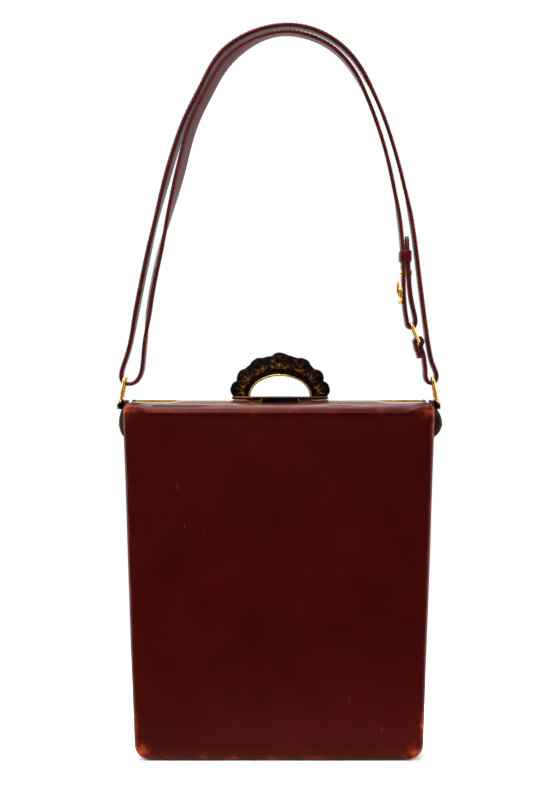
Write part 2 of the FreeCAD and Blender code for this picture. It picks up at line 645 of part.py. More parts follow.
def half_ellipse(semi_x, semi_z, thick):
    """Upper half of an elliptic plate that stands on the clasp's base plate."""
    ellipse = Part.Ellipse(Vector(0, 0, 0), semi_x, semi_z)
    plate = Part.Face(Part.Wire(ellipse.toShape())).extrude(Vector(0, 0, thick))
    plate.rotate(Vector(0, 0, 0), Vector(1, 0, 0), 90)
    plate.translate(Vector(CLASP_X, thick / 2, PLATE_TOP))
    return plate.common(block(-FAR, FAR, -FAR, FAR, PLATE_TOP, FAR))


def build_clasp():
    """Ornate arch on its boat-shaped plate, hinged on the back bar, with the strike in front."""
    arch = half_ellipse(OPENING_HALF + ARCH_BODY_SIDE, OPENING_RISE + ARCH_BODY_TOP, ARCH_THICK)
    for x, z, radius in LOBES:
        for side in {x, -x}:
            arch = arch.fuse(rod_y(radius, -ARCH_THICK / 2, ARCH_THICK / 2, CLASP_X + side, PLATE_TOP + z))
    arch = arch.common(block(-FAR, FAR, -FAR, FAR, PLATE_TOP, FAR)).removeSplitter()
    opening = half_ellipse(OPENING_HALF, OPENING_RISE, RIM_THICK + 2)
    rim_outside = half_ellipse(OPENING_HALF + RIM, OPENING_RISE + RIM, RIM_THICK)
    save("clasp_rim", rim_outside.cut(opening))
    save("clasp_arch", arch.cut(half_ellipse(OPENING_HALF + RIM, OPENING_RISE + RIM, RIM_THICK + 2)))
    half = PLATE_HALF
    bend = half * 0.55
    boat = [(-half, -1.0), (-bend, -PLATE_FRONT), (bend, -PLATE_FRONT), (half, -1.0),
            (half, 2.0), (bend, PLATE_BACK), (-bend, PLATE_BACK), (-half, 2.0)]
    plate = plate_xy([(CLASP_X + x, y) for x, y in boat], PLATE_LOW, PLATE_TOP, [1.4, 8, 8, 1.4] * 2)
    knuckle = rod_x(KNUCKLE_R, CLASP_X - KNUCKLE, CLASP_X + KNUCKLE, CLASP_PIN_Y, CLASP_PIN_Z)
    knuckle = knuckle.fuse(block(CLASP_X - KNUCKLE, CLASP_X + KNUCKLE, PLATE_BACK - 3, CLASP_PIN_Y,
                                 CLASP_PIN_Z, PLATE_TOP))
    plate = plate.fuse(knuckle).cut(rod_x(CLASP_PIN_R + RUNNING, -FAR, FAR, CLASP_PIN_Y, CLASP_PIN_Z))
    save("clasp_plate", plate.removeSplitter())
    ears = []
    for side in (-1, 1):
        start = CLASP_X + side * (KNUCKLE + 0.25 + 1.5) - 1.5
        ear = rod_x(KNUCKLE_R, start, start + 3.0, CLASP_PIN_Y, CLASP_PIN_Z)
        ear = ear.fuse(block(start, start + 3.0, CLASP_PIN_Y - KNUCKLE_R, CLASP_PIN_Y + KNUCKLE_R + 1.5,
                             BODY_HEIGHT, CLASP_PIN_Z))
        ears.append(ear.cut(rod_x(CLASP_PIN_R, -FAR, FAR, CLASP_PIN_Y, CLASP_PIN_Z)).removeSplitter())
    foot = block(CLASP_X - KNUCKLE - 3.25, CLASP_X + KNUCKLE + 3.25, CLASP_PIN_Y + KNUCKLE_R + 0.4,
                 CLASP_PIN_Y + KNUCKLE_R + 1.5, BODY_HEIGHT, BODY_HEIGHT + 0.8)
    save("clasp_bracket", ears[0].fuse(ears[1]).fuse(foot).removeSplitter())
    reach = KNUCKLE + 0.25 + 3.0
    save("clasp_pin", rod_x(CLASP_PIN_R, CLASP_X - reach, CLASP_X + reach, CLASP_PIN_Y, CLASP_PIN_Z))
    y0 = STRIKE_FRONT
    x0 = CLASP_X - STRIKE_HALF
    x1 = CLASP_X + STRIKE_HALF
    strike = block(x0, x1, y0, y0 + STRIKE_DEPTH, BODY_HEIGHT, PLATE_TOP - 0.6)
    shelf = block(x0, x1, y0, -BAR_DEPTH, BODY_HEIGHT, BAR_TOP - 0.2)
    save("strike", strike.fuse(shelf).removeSplitter())


# ---- pockets ----------------------------------------------------------------------------
def lining_patch(width, height, z0, away, thick, front):
    """Flat patch parallel to the front or back lining, its near face `away` from the lining."""
    near = WALL + away
    slab = front_zone(near + thick).cut(front_zone(near))
    patch = slab.common(block(-width / 2, width / 2, -FAR, FAR, z0, z0 + height))
    return patch if front else mirror_y(patch)


def build_pockets():
    """Slip pocket on the back lining, zipped pocket with its slider on the front lining."""
    save("slip_pocket", lining_patch(SLIP_POCKET_W, SLIP_POCKET_H, SLIP_POCKET_Z, 0, POCKET_THICK, False))
    save("zip_pocket", lining_patch(ZIP_POCKET_W, ZIP_POCKET_H, ZIP_POCKET_Z, 0, POCKET_THICK, True))
    tape_z = ZIP_POCKET_Z + ZIP_POCKET_H
    tape = lining_patch(ZIP_POCKET_W, ZIP_TAPE_W, tape_z, 0, POCKET_THICK, True)
    save("zip_tape", tape)
    chain_z = tape_z + (ZIP_TAPE_W - ZIP_CHAIN_W) / 2
    save("zip_chain", lining_patch(ZIP_POCKET_W - 8, ZIP_CHAIN_W, chain_z, POCKET_THICK, ZIP_CHAIN, True))
    middle_z = tape_z + ZIP_TAPE_W / 2
    start_x = -ZIP_POCKET_W / 2 + 8
    slider_z = middle_z - SLIDER_WIDTH / 2
    away = POCKET_THICK + ZIP_CHAIN + SOFT_GAP
    body = lining_patch(FAR, SLIDER_WIDTH, slider_z, away, SLIDER_THICK - ZIP_CHAIN, True)
    body = body.common(block(start_x, start_x + SLIDER_LENGTH, -FAR, FAR, 0, FAR))
    eye_x = start_x + SLIDER_LENGTH / 2
    pull_y = -half_depth(middle_z) + WALL + away + SLIDER_THICK - ZIP_CHAIN + EYE_OUT
    axle_y = pull_y + PULL_THICK / 2
    half = EYE_WIDTH / 2
    lug = block(eye_x - half, eye_x + half, pull_y - 1.9, axle_y + 0.6,
                middle_z - SLIDER_EYE_R, middle_z + SLIDER_EYE_R)
    lug = lug.fuse(rod_x(SLIDER_EYE_R, eye_x - half, eye_x + half, axle_y, middle_z))
    hole = rod_x(AXLE_R + RUNNING, -FAR, FAR, axle_y, middle_z)
    save("zip_slider", body.fuse(lug).cut(hole).removeSplitter())
    half = PULL_WIDTH / 2
    pull = rod_x(AXLE_R, eye_x - half, eye_x + half, axle_y, middle_z)
    for x in (eye_x - half, eye_x + half - PULL_LEG):
        leg = block(x, x + PULL_LEG, pull_y, pull_y + PULL_THICK, middle_z - SHANK_LENGTH, middle_z + AXLE_R)
        pull = pull.fuse(leg)
    plate = block(eye_x - half, eye_x + half, pull_y, pull_y + PULL_THICK,
                  middle_z - PULL_LENGTH, middle_z - SHANK_LENGTH)
    save("zip_pull", pull.fuse(plate).removeSplitter())


if __name__ == "__main__":
    os.makedirs("parts", exist_ok=True)
    build_body()
    build_soft_bands()
    build_frame()
    build_tabs()
    build_lugs()
    build_rings()
    build_strap()
    build_hardware()
    build_clasp()
    build_pockets()
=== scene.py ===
from functools import partial
from math import atan2, copysign, cos, dist, exp, hypot, pi, radians, sin, sqrt, tau

import bpy
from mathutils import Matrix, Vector, noise


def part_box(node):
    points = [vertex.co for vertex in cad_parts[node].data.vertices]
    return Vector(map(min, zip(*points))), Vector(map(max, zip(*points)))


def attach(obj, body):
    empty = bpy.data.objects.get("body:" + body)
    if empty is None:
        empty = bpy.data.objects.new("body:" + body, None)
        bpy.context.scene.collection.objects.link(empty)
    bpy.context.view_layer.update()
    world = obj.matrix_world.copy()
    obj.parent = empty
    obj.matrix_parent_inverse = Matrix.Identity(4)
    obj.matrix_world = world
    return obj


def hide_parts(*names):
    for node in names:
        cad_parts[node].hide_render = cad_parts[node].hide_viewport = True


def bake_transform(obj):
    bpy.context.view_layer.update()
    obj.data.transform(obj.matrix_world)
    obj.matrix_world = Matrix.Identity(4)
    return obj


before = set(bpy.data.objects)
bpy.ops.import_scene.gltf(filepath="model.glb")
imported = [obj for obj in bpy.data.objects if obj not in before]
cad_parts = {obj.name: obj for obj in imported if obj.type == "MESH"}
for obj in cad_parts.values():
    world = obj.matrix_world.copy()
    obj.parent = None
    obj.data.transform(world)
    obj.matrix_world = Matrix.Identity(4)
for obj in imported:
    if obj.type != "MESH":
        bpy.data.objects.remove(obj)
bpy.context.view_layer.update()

# ---- camera, light and floor ----------------------------------------------------------------
# A level studio view from just above the top of the bag, a white backdrop, two side soft boxes
# that draw the pale lines down the edges, and one soft box overhead for the shoulder.
MM = 0.001
VIEW_FROM, VIEW_TO = (-0.001, -1.80, 0.318), (-0.001, 0.0, 0.2742)
BAG_MIDDLE = (0, 0, 0.25)


def aim_at(thing, place, target):
    """Stands a camera or a lamp at a place in metres and turns it to a target."""
    thing.location = place
    thing.rotation_euler = (Vector(target) - thing.location).to_track_quat("-Z", "Y").to_euler()
    bpy.context.scene.collection.objects.link(thing)


camera_data = bpy.data.cameras.new("camera")
camera_data.sensor_width = 36.0
camera_data.lens = 104.0
camera = bpy.data.objects.new("camera", camera_data)
aim_at(camera, VIEW_FROM, VIEW_TO)
bpy.context.scene.camera = camera
bpy.context.scene.view_settings.view_transform = "Standard"


def area_light(name, place, aim, width, height, power):
    """Soft box of a width and height in metres, and a power in watts."""
    lamp = bpy.data.lights.new(name, "AREA")
    lamp.shape = "RECTANGLE"
    lamp.size = width
    lamp.size_y = height
    lamp.energy = power
    aim_at(bpy.data.objects.new(name, lamp), place, aim)


area_light("key_light", (-1.5, -1.9, 1.5), BAG_MIDDLE, 1.0, 1.0, 30)
area_light("fill_light", (1.7, -1.6, 0.9), BAG_MIDDLE, 0.9, 1.2, 14)
area_light("left_strip", (-1.1, 0.15, 0.35), BAG_MIDDLE, 0.5, 1.4, 13)
area_light("right_strip", (1.1, 0.15, 0.35), BAG_MIDDLE, 0.5, 1.4, 13)
area_light("top_light", (-0.2, 0.1, 1.7), (0, 0, 0.2), 1.8, 0.9, 72)
area_light("front_box", (0.0, -2.3, 1.5), (0, 0, 0.3), 1.8, 0.7, 22)
area_light("back_box", (0.0, 1.6, 0.95), (0, 0, 0.27), 2.0, 0.8, 16)


def node(nodes, kind, sockets=None, stops=(), **settings):
    """Adds a shader node. A socket gets a value, or a link where it is given as (node, output);
    stops are the (position, colour) marks of a colour ramp."""
    made = nodes.new("ShaderNode" + kind)
    for name, value in settings.items():
        setattr(made, name, value)
    for name, value in (sockets or {}).items():
        if isinstance(value, tuple) and isinstance(value[0], bpy.types.Node):
            nodes.id_data.links.new(value[0].outputs[value[1]], made.inputs[name])
        else:
            made.inputs[name].default_value = value
    for index, (position, tint) in zip((0, 1), (stops[0], stops[-1]) if stops else ()):
        made.color_ramp.elements[index].position = position
        made.color_ramp.elements[index].color = tint
    for position, tint in stops[1:-1]:
        made.color_ramp.elements.new(position).color = tint
    return made


BLACK, HALF, WHITE = ((level, level, level, 1.0) for level in (0.0, 0.5, 1.0))


def light_backdrop():
    """White where seen; for light and reflections bright behind the bag and dim in front of it."""
    world = bpy.data.worlds.new("studio")
    bpy.context.scene.world = world
    world.use_nodes = True
    world.node_tree.nodes.clear()
    add = partial(node, world.node_tree.nodes)
    axes = add("SeparateXYZ", {0: (add("TexCoord"), "Generated")})
    level = add("MapRange", {"Value": (axes, "Y"), "From Min": -0.35, "From Max": 0.45,
                             "To Min": 0.05, "To Max": 0.62}, interpolation_type="SMOOTHSTEP")
    soft = add("Background", {"Color": WHITE, "Strength": (level, 0)})
    white = add("Background", {"Color": WHITE, "Strength": 1.0})
    path = add("LightPath")
    seen = add("Math", {0: (path, "Is Camera Ray"), 1: (path, "Is Transmission Ray")},
               operation="MAXIMUM")
    mix = add("MixShader", {0: (seen, 0), 1: (soft, 0), 2: (white, 0)})
    add("OutputWorld", {"Surface": (mix, 0)})


light_backdrop()


def colour(code):
    """Linear RGBA from an sRGB hex string."""
    parts = [int(code[i:i + 2], 16) / 255 for i in (0, 2, 4)]
    return tuple(c / 12.92 if c < 0.04045 else ((c + 0.055) / 1.055) ** 2.4 for c in parts) + (1.0,)


def per(size):
    """Scale of a pattern whose marks are about size millimetres, on the object's own metres."""
    return 1 / (size * MM)


def material(name):
    """New empty material: itself, what adds a node to it, and the place on the object it colours."""
    made = bpy.data.materials.new(name)
    made.use_nodes = True
    made.node_tree.nodes.clear()
    add = partial(node, made.node_tree.nodes)
    return made, add, (add("TexCoord"), "Object")


def finished(made, add, sockets):
    """Closes a material with its shader."""
    add("OutputMaterial", {"Surface": (add("BsdfPrincipled", sockets), 0)})
    return made


def floor_finish():
    """White paper that fades into the backdrop away from the bag."""
    made, add, here = material("white_paper_sweep")
    grain = add("TexNoise", {"Vector": here, "Scale": per(40), "Detail": 4})
    tone = add("ValToRGB", {0: (grain, "Fac")}, [(0.3, colour("f6f6f6")), (0.7, colour("fafafa"))])
    paper = add("BsdfPrincipled", {"Base Color": (tone, 0), "Roughness": 0.9})
    clear = add("BsdfTransparent")
    reach = add("VectorMath", {0: here}, operation="LENGTH")
    edge = add("ValToRGB", {0: (reach, "Value")}, [(0.20, BLACK), (0.62, WHITE)])
    fade = add("MixShader", {0: (edge, 0), 1: (paper, 0), 2: (clear, 0)})
    add("OutputMaterial", {"Surface": (fade, 0)})
    return made


def lay_floor():
    """Sheet a hair below the base, so that the two don't share a plane."""
    mesh = bpy.data.meshes.new("floor")
    mesh.from_pydata([(-3, -3, 0), (3, -3, 0), (3, 3, 0), (-3, 3, 0)], [], [(0, 1, 2, 3)])
    floor = bpy.data.objects.new("floor", mesh)
    bpy.context.scene.collection.objects.link(floor)
    floor.location.z = -0.0004
    mesh.materials.append(floor_finish())


lay_floor()


# ---- front and back skins -------------------------------------------------------------------
# Glossy oxblood leather, glued over pulpboard. One skin at the front and one at the back, each
# wrapped round the side edges and turned over the shoulder to the brass bar of the frame.
BODY_HEIGHT = 273.0
TOP_WIDTH, BASE_WIDTH = 241.0, 220.0
TOP_DEPTH, BASE_DEPTH = 44.0, 90.0
BASE_CORNER, TOP_CORNER = 12.0, 8.0       # radii of the front outline
BASE_EDGE = 6.0                           # rounding along the foot of the front and back
FLEX_LOW, FLEX_HIGH = 229.0, 253.0
BAR_FRONT = -5.0
LEATHER = 1.6
EDGE_ROUND = 3.8                          # rounding of the skin down the side edges
SHOULDER, CORNER_START, CORNER_END = 266.4, 97, 113
CROWN_START, CROWN_END = 76, 84           # where the top stops swelling up against the bar


def drawn_in(distance, radius):
    """How far a rounded edge has drawn in at a distance from its flat."""
    if distance >= radius:
        return 0.0
    return radius - sqrt(radius ** 2 - (radius - max(distance, 0.0)) ** 2)


def side_x(z):
    """Half the width at height z, before the corners are rounded."""
    return (BASE_WIDTH + (TOP_WIDTH - BASE_WIDTH) * z / BODY_HEIGHT) / 2


def half_width(z):
    """Half the width of the front outline at height z."""
    return side_x(z) - drawn_in(z, BASE_CORNER) - drawn_in(BODY_HEIGHT - z, TOP_CORNER)


def half_depth(z):
    """Half the depth at height z: the bag narrows towards its frame."""
    straight = (BASE_DEPTH + (TOP_DEPTH - BASE_DEPTH) * z / BODY_HEIGHT) / 2
    return straight - drawn_in(z, BASE_EDGE) - drawn_in(BODY_HEIGHT - z, TOP_CORNER)


def ease(low, high, value):
    """0 at low, 1 at high, with no kink at either."""
    part = min(max((value - low) / (high - low), 0.0), 1.0)
    return part * part * (3 - 2 * part)


def bell(value, width):
    """1 at zero, fading to nothing over a few widths either way."""
    return exp(-(value / width) ** 2)


def seam_y(z):
    """Where the front skin ends on the side: close behind the edge, further back at the frame."""
    low = half_depth(max(z, 0.0)) - 7.0
    return -(low + (8.3 - low) * ease(FLEX_LOW - 6, FLEX_HIGH, z))


def uneven(x, y, z, amount=0.35):
    """Slow hand-made unevenness, in millimetres."""
    place = Vector((x, y, z))
    return amount * noise.noise(place * 0.016) + 0.25 * amount * noise.noise(place * 0.07)


def rub(across, up, width, height):
    """A rubbed spot: 1 in its middle, fading over a width and a height."""
    return exp(-((across / width) ** 2 + (up / height) ** 2))


def worn(x, y, z):
    """Wear from 0 to 1: rubbed corners most, then the edges of the front and back."""
    side = abs(abs(x) - half_width(min(max(z, 13.0), 264.0)))
    behind = max(0.0, half_depth(max(z, 7.0)) - abs(y) - 1.5) if z < 262 else 0.0
    at_edge = bell(side, 3.2) * (0.12 + 0.88 * bell(behind, 3.6))
    top = bell(z - 267, 5.0) if abs(y) > 9 else 0.0
    low = bell(z, 5.0)
    patch = 0.5 + 0.9 * noise.noise(Vector((x, y, z)) * 0.06)
    left_top = rub(x + 118, z - 268, 7, 7) * (0.62 if y < 0 else 0.3)
    right_top = rub(x - 117, z - 267, 10, 7) * (0.5 if y < 0 else 0.35)
    feet = rub(abs(x) - 108, z - 3, 11, 9) * 0.62
    tails = 0.55 * at_edge * ease(236, 262, z)
    streaks = 0.75 + 0.6 * patch
    edges = max(patch * (0.4 * at_edge + 0.3 * top + 0.4 * low), tails * patch)
    return min(1.0, max(edges, left_top, right_top, feet) * streaks)


HEIGHTS = [0.0, 0.1, 0.5, 1.3, 2.4, 3.9, 6, 9, 12.5] + [20 + 8.0 * i for i in range(26)]
HEIGHTS += [225 + 4 * i for i in range(9)] + [260, 262.5, 264, 265]
HEIGHTS += [265.8, 266.6, 267.4, 268.2, 269, 269.8, 270.6, 271.4, 272.1, 272.7, 273.0]


def wall_row(z, columns=60):
    """One row of a front wall at height z, from its left seam round the front to its right seam."""
    wide, deep = half_width(z), half_depth(z)
    seam = min(seam_y(z), -8.3)
    bend = max(EDGE_ROUND - 0.6 * drawn_in(BODY_HEIGHT - z, TOP_CORNER), 0.8)
    left = []
    turn_y = -deep + bend
    for i in range(4):
        left.append((-wide, seam + (turn_y - seam) * i / 4 if seam > turn_y else turn_y + 0.01 * (4 - i)))
    for i in range(7):
        angle = radians(180 + 90 * i / 6)
        left.append((-wide + bend + bend * cos(angle), -deep + bend + bend * sin(angle)))
    run = 2 * (wide - bend)
    middle = [(-wide + bend + run * i / columns, -deep) for i in range(1, columns)]
    right = [(-x, y) for x, y in reversed(left)]
    return [(x, y, z) for x, y in left + middle + right]


def top_form(x, y, z):
    """Rise of the padded top: it slopes down to the front between the corners and swells by the bar."""
    between = 1 - ease(CORNER_START, CORNER_END, abs(x))
    slope = -1.7 * ease(6, 21, -y) * ease(248, 267, z) * between
    swell = 1.15 * ease(17, 7, -y) * (1 - ease(CROWN_START, CROWN_END, abs(x)))
    swell *= ease(14, 24, abs(x - 1))
    return slope + swell * ease(270, 273, z)


def shoulder_fold(x, z):
    """Small crease where the leather folds over the board, pulled up at the corners."""
    crest = SHOULDER + 3.4 * ease(CORNER_START, CORNER_END, abs(x))
    return 0.6 * exp(-(z - crest) ** 2) * (1 - ease(112, 117, abs(x)))


def add_mesh(name, points, faces, finish, smooth=True):
    """Object from points in millimetres, with its material."""
    mesh = bpy.data.meshes.new(name)
    mesh.from_pydata([(x * MM, y * MM, z * MM) for x, y, z in points], [], faces)
    mesh.materials.append(finish)
    mesh.validate()
    mesh.polygons.foreach_set("use_smooth", [smooth] * len(mesh.polygons))
    made = bpy.data.objects.new(name, mesh)
    bpy.context.scene.collection.objects.link(made)
    return made


def grid_faces(rows, columns, ring=False, start=0):
    """Quads of a grid whose points run row by row; ring joins the last column to the first."""
    faces = []
    for row in range(rows - 1):
        for column in range(columns if ring else columns - 1):
            after = (column + 1) % columns
            a = start + row * columns
            faces.append((a + column, a + after, a + columns + after, a + columns + column))
    return faces


def flipped(faces, wanted=True):
    """The faces, turned to show their other side where that is wanted."""
    return [tuple(reversed(face)) for face in faces] if wanted else faces


def mark(thing, name, values):
    """Stores one number per point, which the materials read by name."""
    layer = thing.data.attributes.new(name, "FLOAT", "POINT")
    layer.data.foreach_set("value", values)
    return thing


def modify(thing, name, kind, **settings):
    """Adds a modifier with its settings."""
    made = thing.modifiers.new(name, kind)
    for setting, value in settings.items():
        setattr(made, setting, value)


def thicken(thing, thickness, offset=-1.0, **more):
    """Gives a sheet its thickness in millimetres, away from its outer face when offset is -1."""
    modify(thing, "thickness", "SOLIDIFY", thickness=thickness * MM, offset=offset, **more)


def wall(name, side, top_rows=8):
    """Front (-1) or back (1) wall: rows up the outside, then rows along the top to the frame."""
    rows = [wall_row(z) for z in HEIGHTS]
    last = rows[-1]
    bar = BAR_FRONT - 0.25
    for step in range(1, top_rows + 1):
        rows.append([(x, y + (bar - y) * step / top_rows, z) for x, y, z in last])
    points = []
    for row in rows:
        for x, y, z in row:
            swell = 0.0
            if abs(x) < 100 and z < 262:
                swell = 1.1 * cos(x / 100 * pi / 2) * sin(z / 262 * pi)
            lump = uneven(x, y * side, z)
            near_wall = ease(14, 20, -y)
            points.append((x + 0.5 * lump * (1 if x > 0 else -1) * ease(90, 110, abs(x)),
                           side * -(y - (swell + lump) * near_wall - shoulder_fold(x, z)),
                           z + top_form(x, y, z)))
    faces = flipped(grid_faces(len(rows), len(rows[0])), side > 0)
    made = add_mesh(name, points, faces, OXBLOOD)
    return mark(made, "wear", [worn(*point) for point in points])


def leather_finish(name, base, deep, rubbed, bare, shine=0.25, scratch=True):
    """Waxed calf: a slow drift of colour and gloss, pores and creases, a few pale scratches, and
    the places that the wear names rubbed through the dye to the hide."""
    made, add, here = material(name)
    drift = add("TexNoise", {"Vector": here, "Scale": per(70), "Detail": 5})
    tone = add("ValToRGB", {0: (drift, "Fac")}, [(0.32, colour(deep)), (0.68, colour(base))])
    wear = (add("Attribute", attribute_name="wear"), "Fac")
    scuffs = add("TexNoise", {"Vector": here, "Scale": per(5), "Detail": 6})
    spread = add("Math", {0: (scuffs, "Fac"), 1: 3.4, 2: -1.8}, operation="MULTIPLY_ADD")
    amount = add("Math", {0: (spread, 0), 1: wear, 2: wear}, operation="MULTIPLY_ADD")
    limit = add("ValToRGB", {0: (amount, 0)}, [(0.1, BLACK), (0.95, WHITE)])
    shade = add("ValToRGB", {0: (limit, 0)}, [(0.15, colour(rubbed)), (0.8, colour(bare))])
    final = add("Mix", {0: (limit, 0), 6: (tone, 0), 7: (shade, 0)}, data_type="RGBA")
    if scratch:
        along = add("Mapping", {"Vector": here, "Scale": (1, 1, 0.04)})
        fine = add("TexNoise", {"Vector": (along, 0), "Scale": per(3.5), "Detail": 3})
        streak = add("ValToRGB", {0: (fine, "Fac")}, [(0.70, BLACK), (0.735, HALF)])
        where = add("TexNoise", {"Vector": here, "Scale": per(60), "Detail": 2})
        few = add("ValToRGB", {0: (where, "Fac")}, [(0.55, BLACK), (0.66, WHITE)])
        both = add("Math", {0: (streak, 0), 1: (few, 0)}, operation="MULTIPLY")
        final = add("Mix", {0: (both, 0), 6: (final, 2), 7: colour("7a3020")}, data_type="RGBA")
    # The pores of calf are 0.2 to 0.4 mm apart, too fine to show, and are drawn at 0.9 mm.
    pores = add("TexVoronoi", {"Vector": here, "Scale": per(0.9)}, feature="SMOOTH_F1")
    crease = add("TexNoise", {"Vector": here, "Scale": per(9), "Detail": 6})
    height = add("Math", {0: (pores, "Distance"), 1: 0.22, 2: (crease, "Fac")},
                 operation="MULTIPLY_ADD")
    dents = add("Bump", {"Height": (height, 0), "Strength": 0.5, "Distance": 0.16 * MM})
    gloss = add("TexNoise", {"Vector": here, "Scale": per(26), "Detail": 5})
    rough = add("MapRange", {"Value": (gloss, "Fac"), "To Min": 0.22, "To Max": 0.40})
    matte = add("Math", {0: (limit, 0), 1: 0.22, 2: (rough, 0)}, operation="MULTIPLY_ADD")
    return finished(made, add, {"Base Color": (final, 2), "Roughness": (matte, 0), "Normal": (dents, 0),
                                "IOR": 1.45, "Specular IOR Level": shine,
                                "Specular Tint": colour("ff8f80")})


OXBLOOD = leather_finish("oxblood_waxed_leather", "300302", "260202", "74200f", "a0481f")

FRONT_BACK, LEFT_RIGHT = ((-1, "front"), (1, "back")), ((-1, "left"), (1, "right"))
for side, word in FRONT_BACK:
    skin = wall(word + "_skin", side)
    thicken(skin, LEATHER)
    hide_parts(word + "_panel", word + "_flex", word + "_cover")
    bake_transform(skin)


# ---- gussets and tongues --------------------------------------------------------------------
# One piece of the same leather on each side, pulled a little hollow. It narrows at the bend to
# a rounded tongue, which stands between the opening halves and carries the ring.
TONGUE_TOP, TONGUE_HALF = 274.2, 7.4
GUSSET_IN, SEAM_GAP = 0.05, 0.25


def side_wall(name, side):
    """Gusset on the left (-1) or right (1), narrowing to the tongue that stands between the halves."""
    points = []
    columns = 14
    heights = [z for z in HEIGHTS if z < 272] + [272.6, 273.4, 273.9, 274.1]
    for z in heights:
        level = min(z, 264.0)
        wide = side_x(z) - drawn_in(z, BASE_CORNER) - GUSSET_IN
        low = -seam_y(level) - SEAM_GAP - GUSSET_IN * 0.5
        deep = low + (TONGUE_HALF - low) * ease(FLEX_LOW - 2, FLEX_LOW + 8, z)
        rounding = max(z - (TONGUE_TOP - TONGUE_HALF), 0.0) / TONGUE_HALF
        deep *= sqrt(max(1 - rounding ** 2, 0.02))
        for i in range(columns + 1):
            across = -1 + 2 * i / columns
            y = deep * across
            hollow = 0.7 * (1 - across ** 2) * sin(min(z, 225) / 225 * pi)
            points.append((side * (wide - hollow + uneven(side * wide, y, z)), y, z))
    faces = flipped(grid_faces(len(heights), columns + 1), side < 0)
    made = add_mesh(name, points, faces, OXBLOOD)
    return mark(made, "wear", [0.45 * worn(*point) for point in points])


for side, word in LEFT_RIGHT:
    gusset = side_wall(word + "_gusset_skin", side)
    thicken(gusset, LEATHER)
    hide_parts(word + "_gusset")
    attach(gusset, "bag")


# ---- base -----------------------------------------------------------------------------------
# Flat oxblood panel under its own board, sagging a hair in the middle. The same cut makes the
# suede that lines the floor of the bag.


def base_wall(name, z, inset, finish, sag=0.25):
    """Flat bottom of the bag at height z, drawn in by inset from the walls."""
    wide = half_width(0) - inset
    deep = half_depth(0) - inset
    across, along = 40, 18
    points = []
    for j in range(along + 1):
        for i in range(across + 1):
            u = -1 + 2 * i / across
            v = -1 + 2 * j / along
            points.append((wide * u, deep * v, z + sag * (1 - u ** 6) * (1 - v ** 6)))
    faces = flipped(grid_faces(along + 1, across + 1))
    made = add_mesh(name, points, faces, finish)
    return mark(made, "wear", [0.6 * worn(*point) for point in points])


base_skin = base_wall("base_skin", 0.02, 0.0, OXBLOOD)
thicken(base_skin, LEATHER)
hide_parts("base_panel")
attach(base_skin, "bag")


# ---- boards ---------------------------------------------------------------------------------
# Grey pulpboard, cut to each face and glued under its leather. It is seen only where the bag is
# open, so the edges that stand up in the tongues and covers are painted to match the leather.


def board_finish():
    """Grey pulpboard with loose fibres; from the bend upwards its edges are painted oxblood."""
    made, add, here = material("grey_pulpboard")
    fibre = add("TexNoise", {"Vector": here, "Scale": per(0.8), "Detail": 8})
    tone = add("ValToRGB", {0: (fibre, "Fac")}, [(0.35, colour("6a6258")), (0.65, colour("8d8376"))])
    axes = add("SeparateXYZ", {0: here})
    high = add("Math", {0: (axes, "Z"), 1: FLEX_LOW * MM}, operation="GREATER_THAN")
    mix = add("Mix", {0: (high, 0), 6: (tone, 0), 7: colour("2a0606")}, data_type="RGBA")
    dents = add("Bump", {"Height": (fibre, "Fac"), "Strength": 0.5, "Distance": 0.1 * MM})
    return finished(made, add, {"Base Color": (mix, 2), "Roughness": 0.9, "Normal": (dents, 0)})


def dress(name, finish, bevel=0.25):
    """Gives a CAD piece its finish, and small soft edges that catch the light."""
    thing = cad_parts[name]
    thing.data.materials.clear()
    thing.data.materials.append(finish)
    if bevel:
        modify(thing, "weld", "WELD", merge_threshold=0.00001)
        modify(thing, "edge", "BEVEL", width=bevel * MM, segments=2, limit_method="ANGLE",
               angle_limit=radians(35), harden_normals=True)
    return thing


BOARD = board_finish()
for name in ("front_board", "back_board", "base_board", "side_boards",
             "front_cover_board", "back_cover_board"):
    dress(name, BOARD, 0)


# ---- linings --------------------------------------------------------------------------------
# Tan suede, glued to the inside of the boards, a little slack. The front and back linings run
# up to the bars of the frame; the sides and floor stay with the bag.


def suede_finish():
    """Tan suede: a short nap that scatters the light, brushed lighter and darker in drifts."""
    made, add, here = material("tan_suede")
    nap = add("TexNoise", {"Vector": here, "Scale": per(1.2), "Detail": 8})
    drift = add("TexNoise", {"Vector": here, "Scale": per(45), "Detail": 4})
    both = add("Math", {0: (nap, "Fac"), 1: (drift, "Fac")}, operation="ADD")
    tone = add("ValToRGB", {0: (both, 0)}, [(0.75, colour("6f4a30")), (1.0, colour("a2754e"))])
    dents = add("Bump", {"Height": (nap, "Fac"), "Strength": 0.7, "Distance": 0.25 * MM})
    return finished(made, add, {"Base Color": (tone, 0), "Roughness": 0.95, "Normal": (dents, 0),
                                "Sheen Weight": 0.4})


SUEDE = suede_finish()
LINING_HEIGHTS = [4.4, 6, 9, 12.5] + [20 + 11.0 * i for i in range(19)]
LINING_HEIGHTS += [229, 237, 245, 253, 259, 264, 267, 268.6]
LINING_IN, BEND_IN = 3.9, 2.0             # in from the outer face, and further along the bend


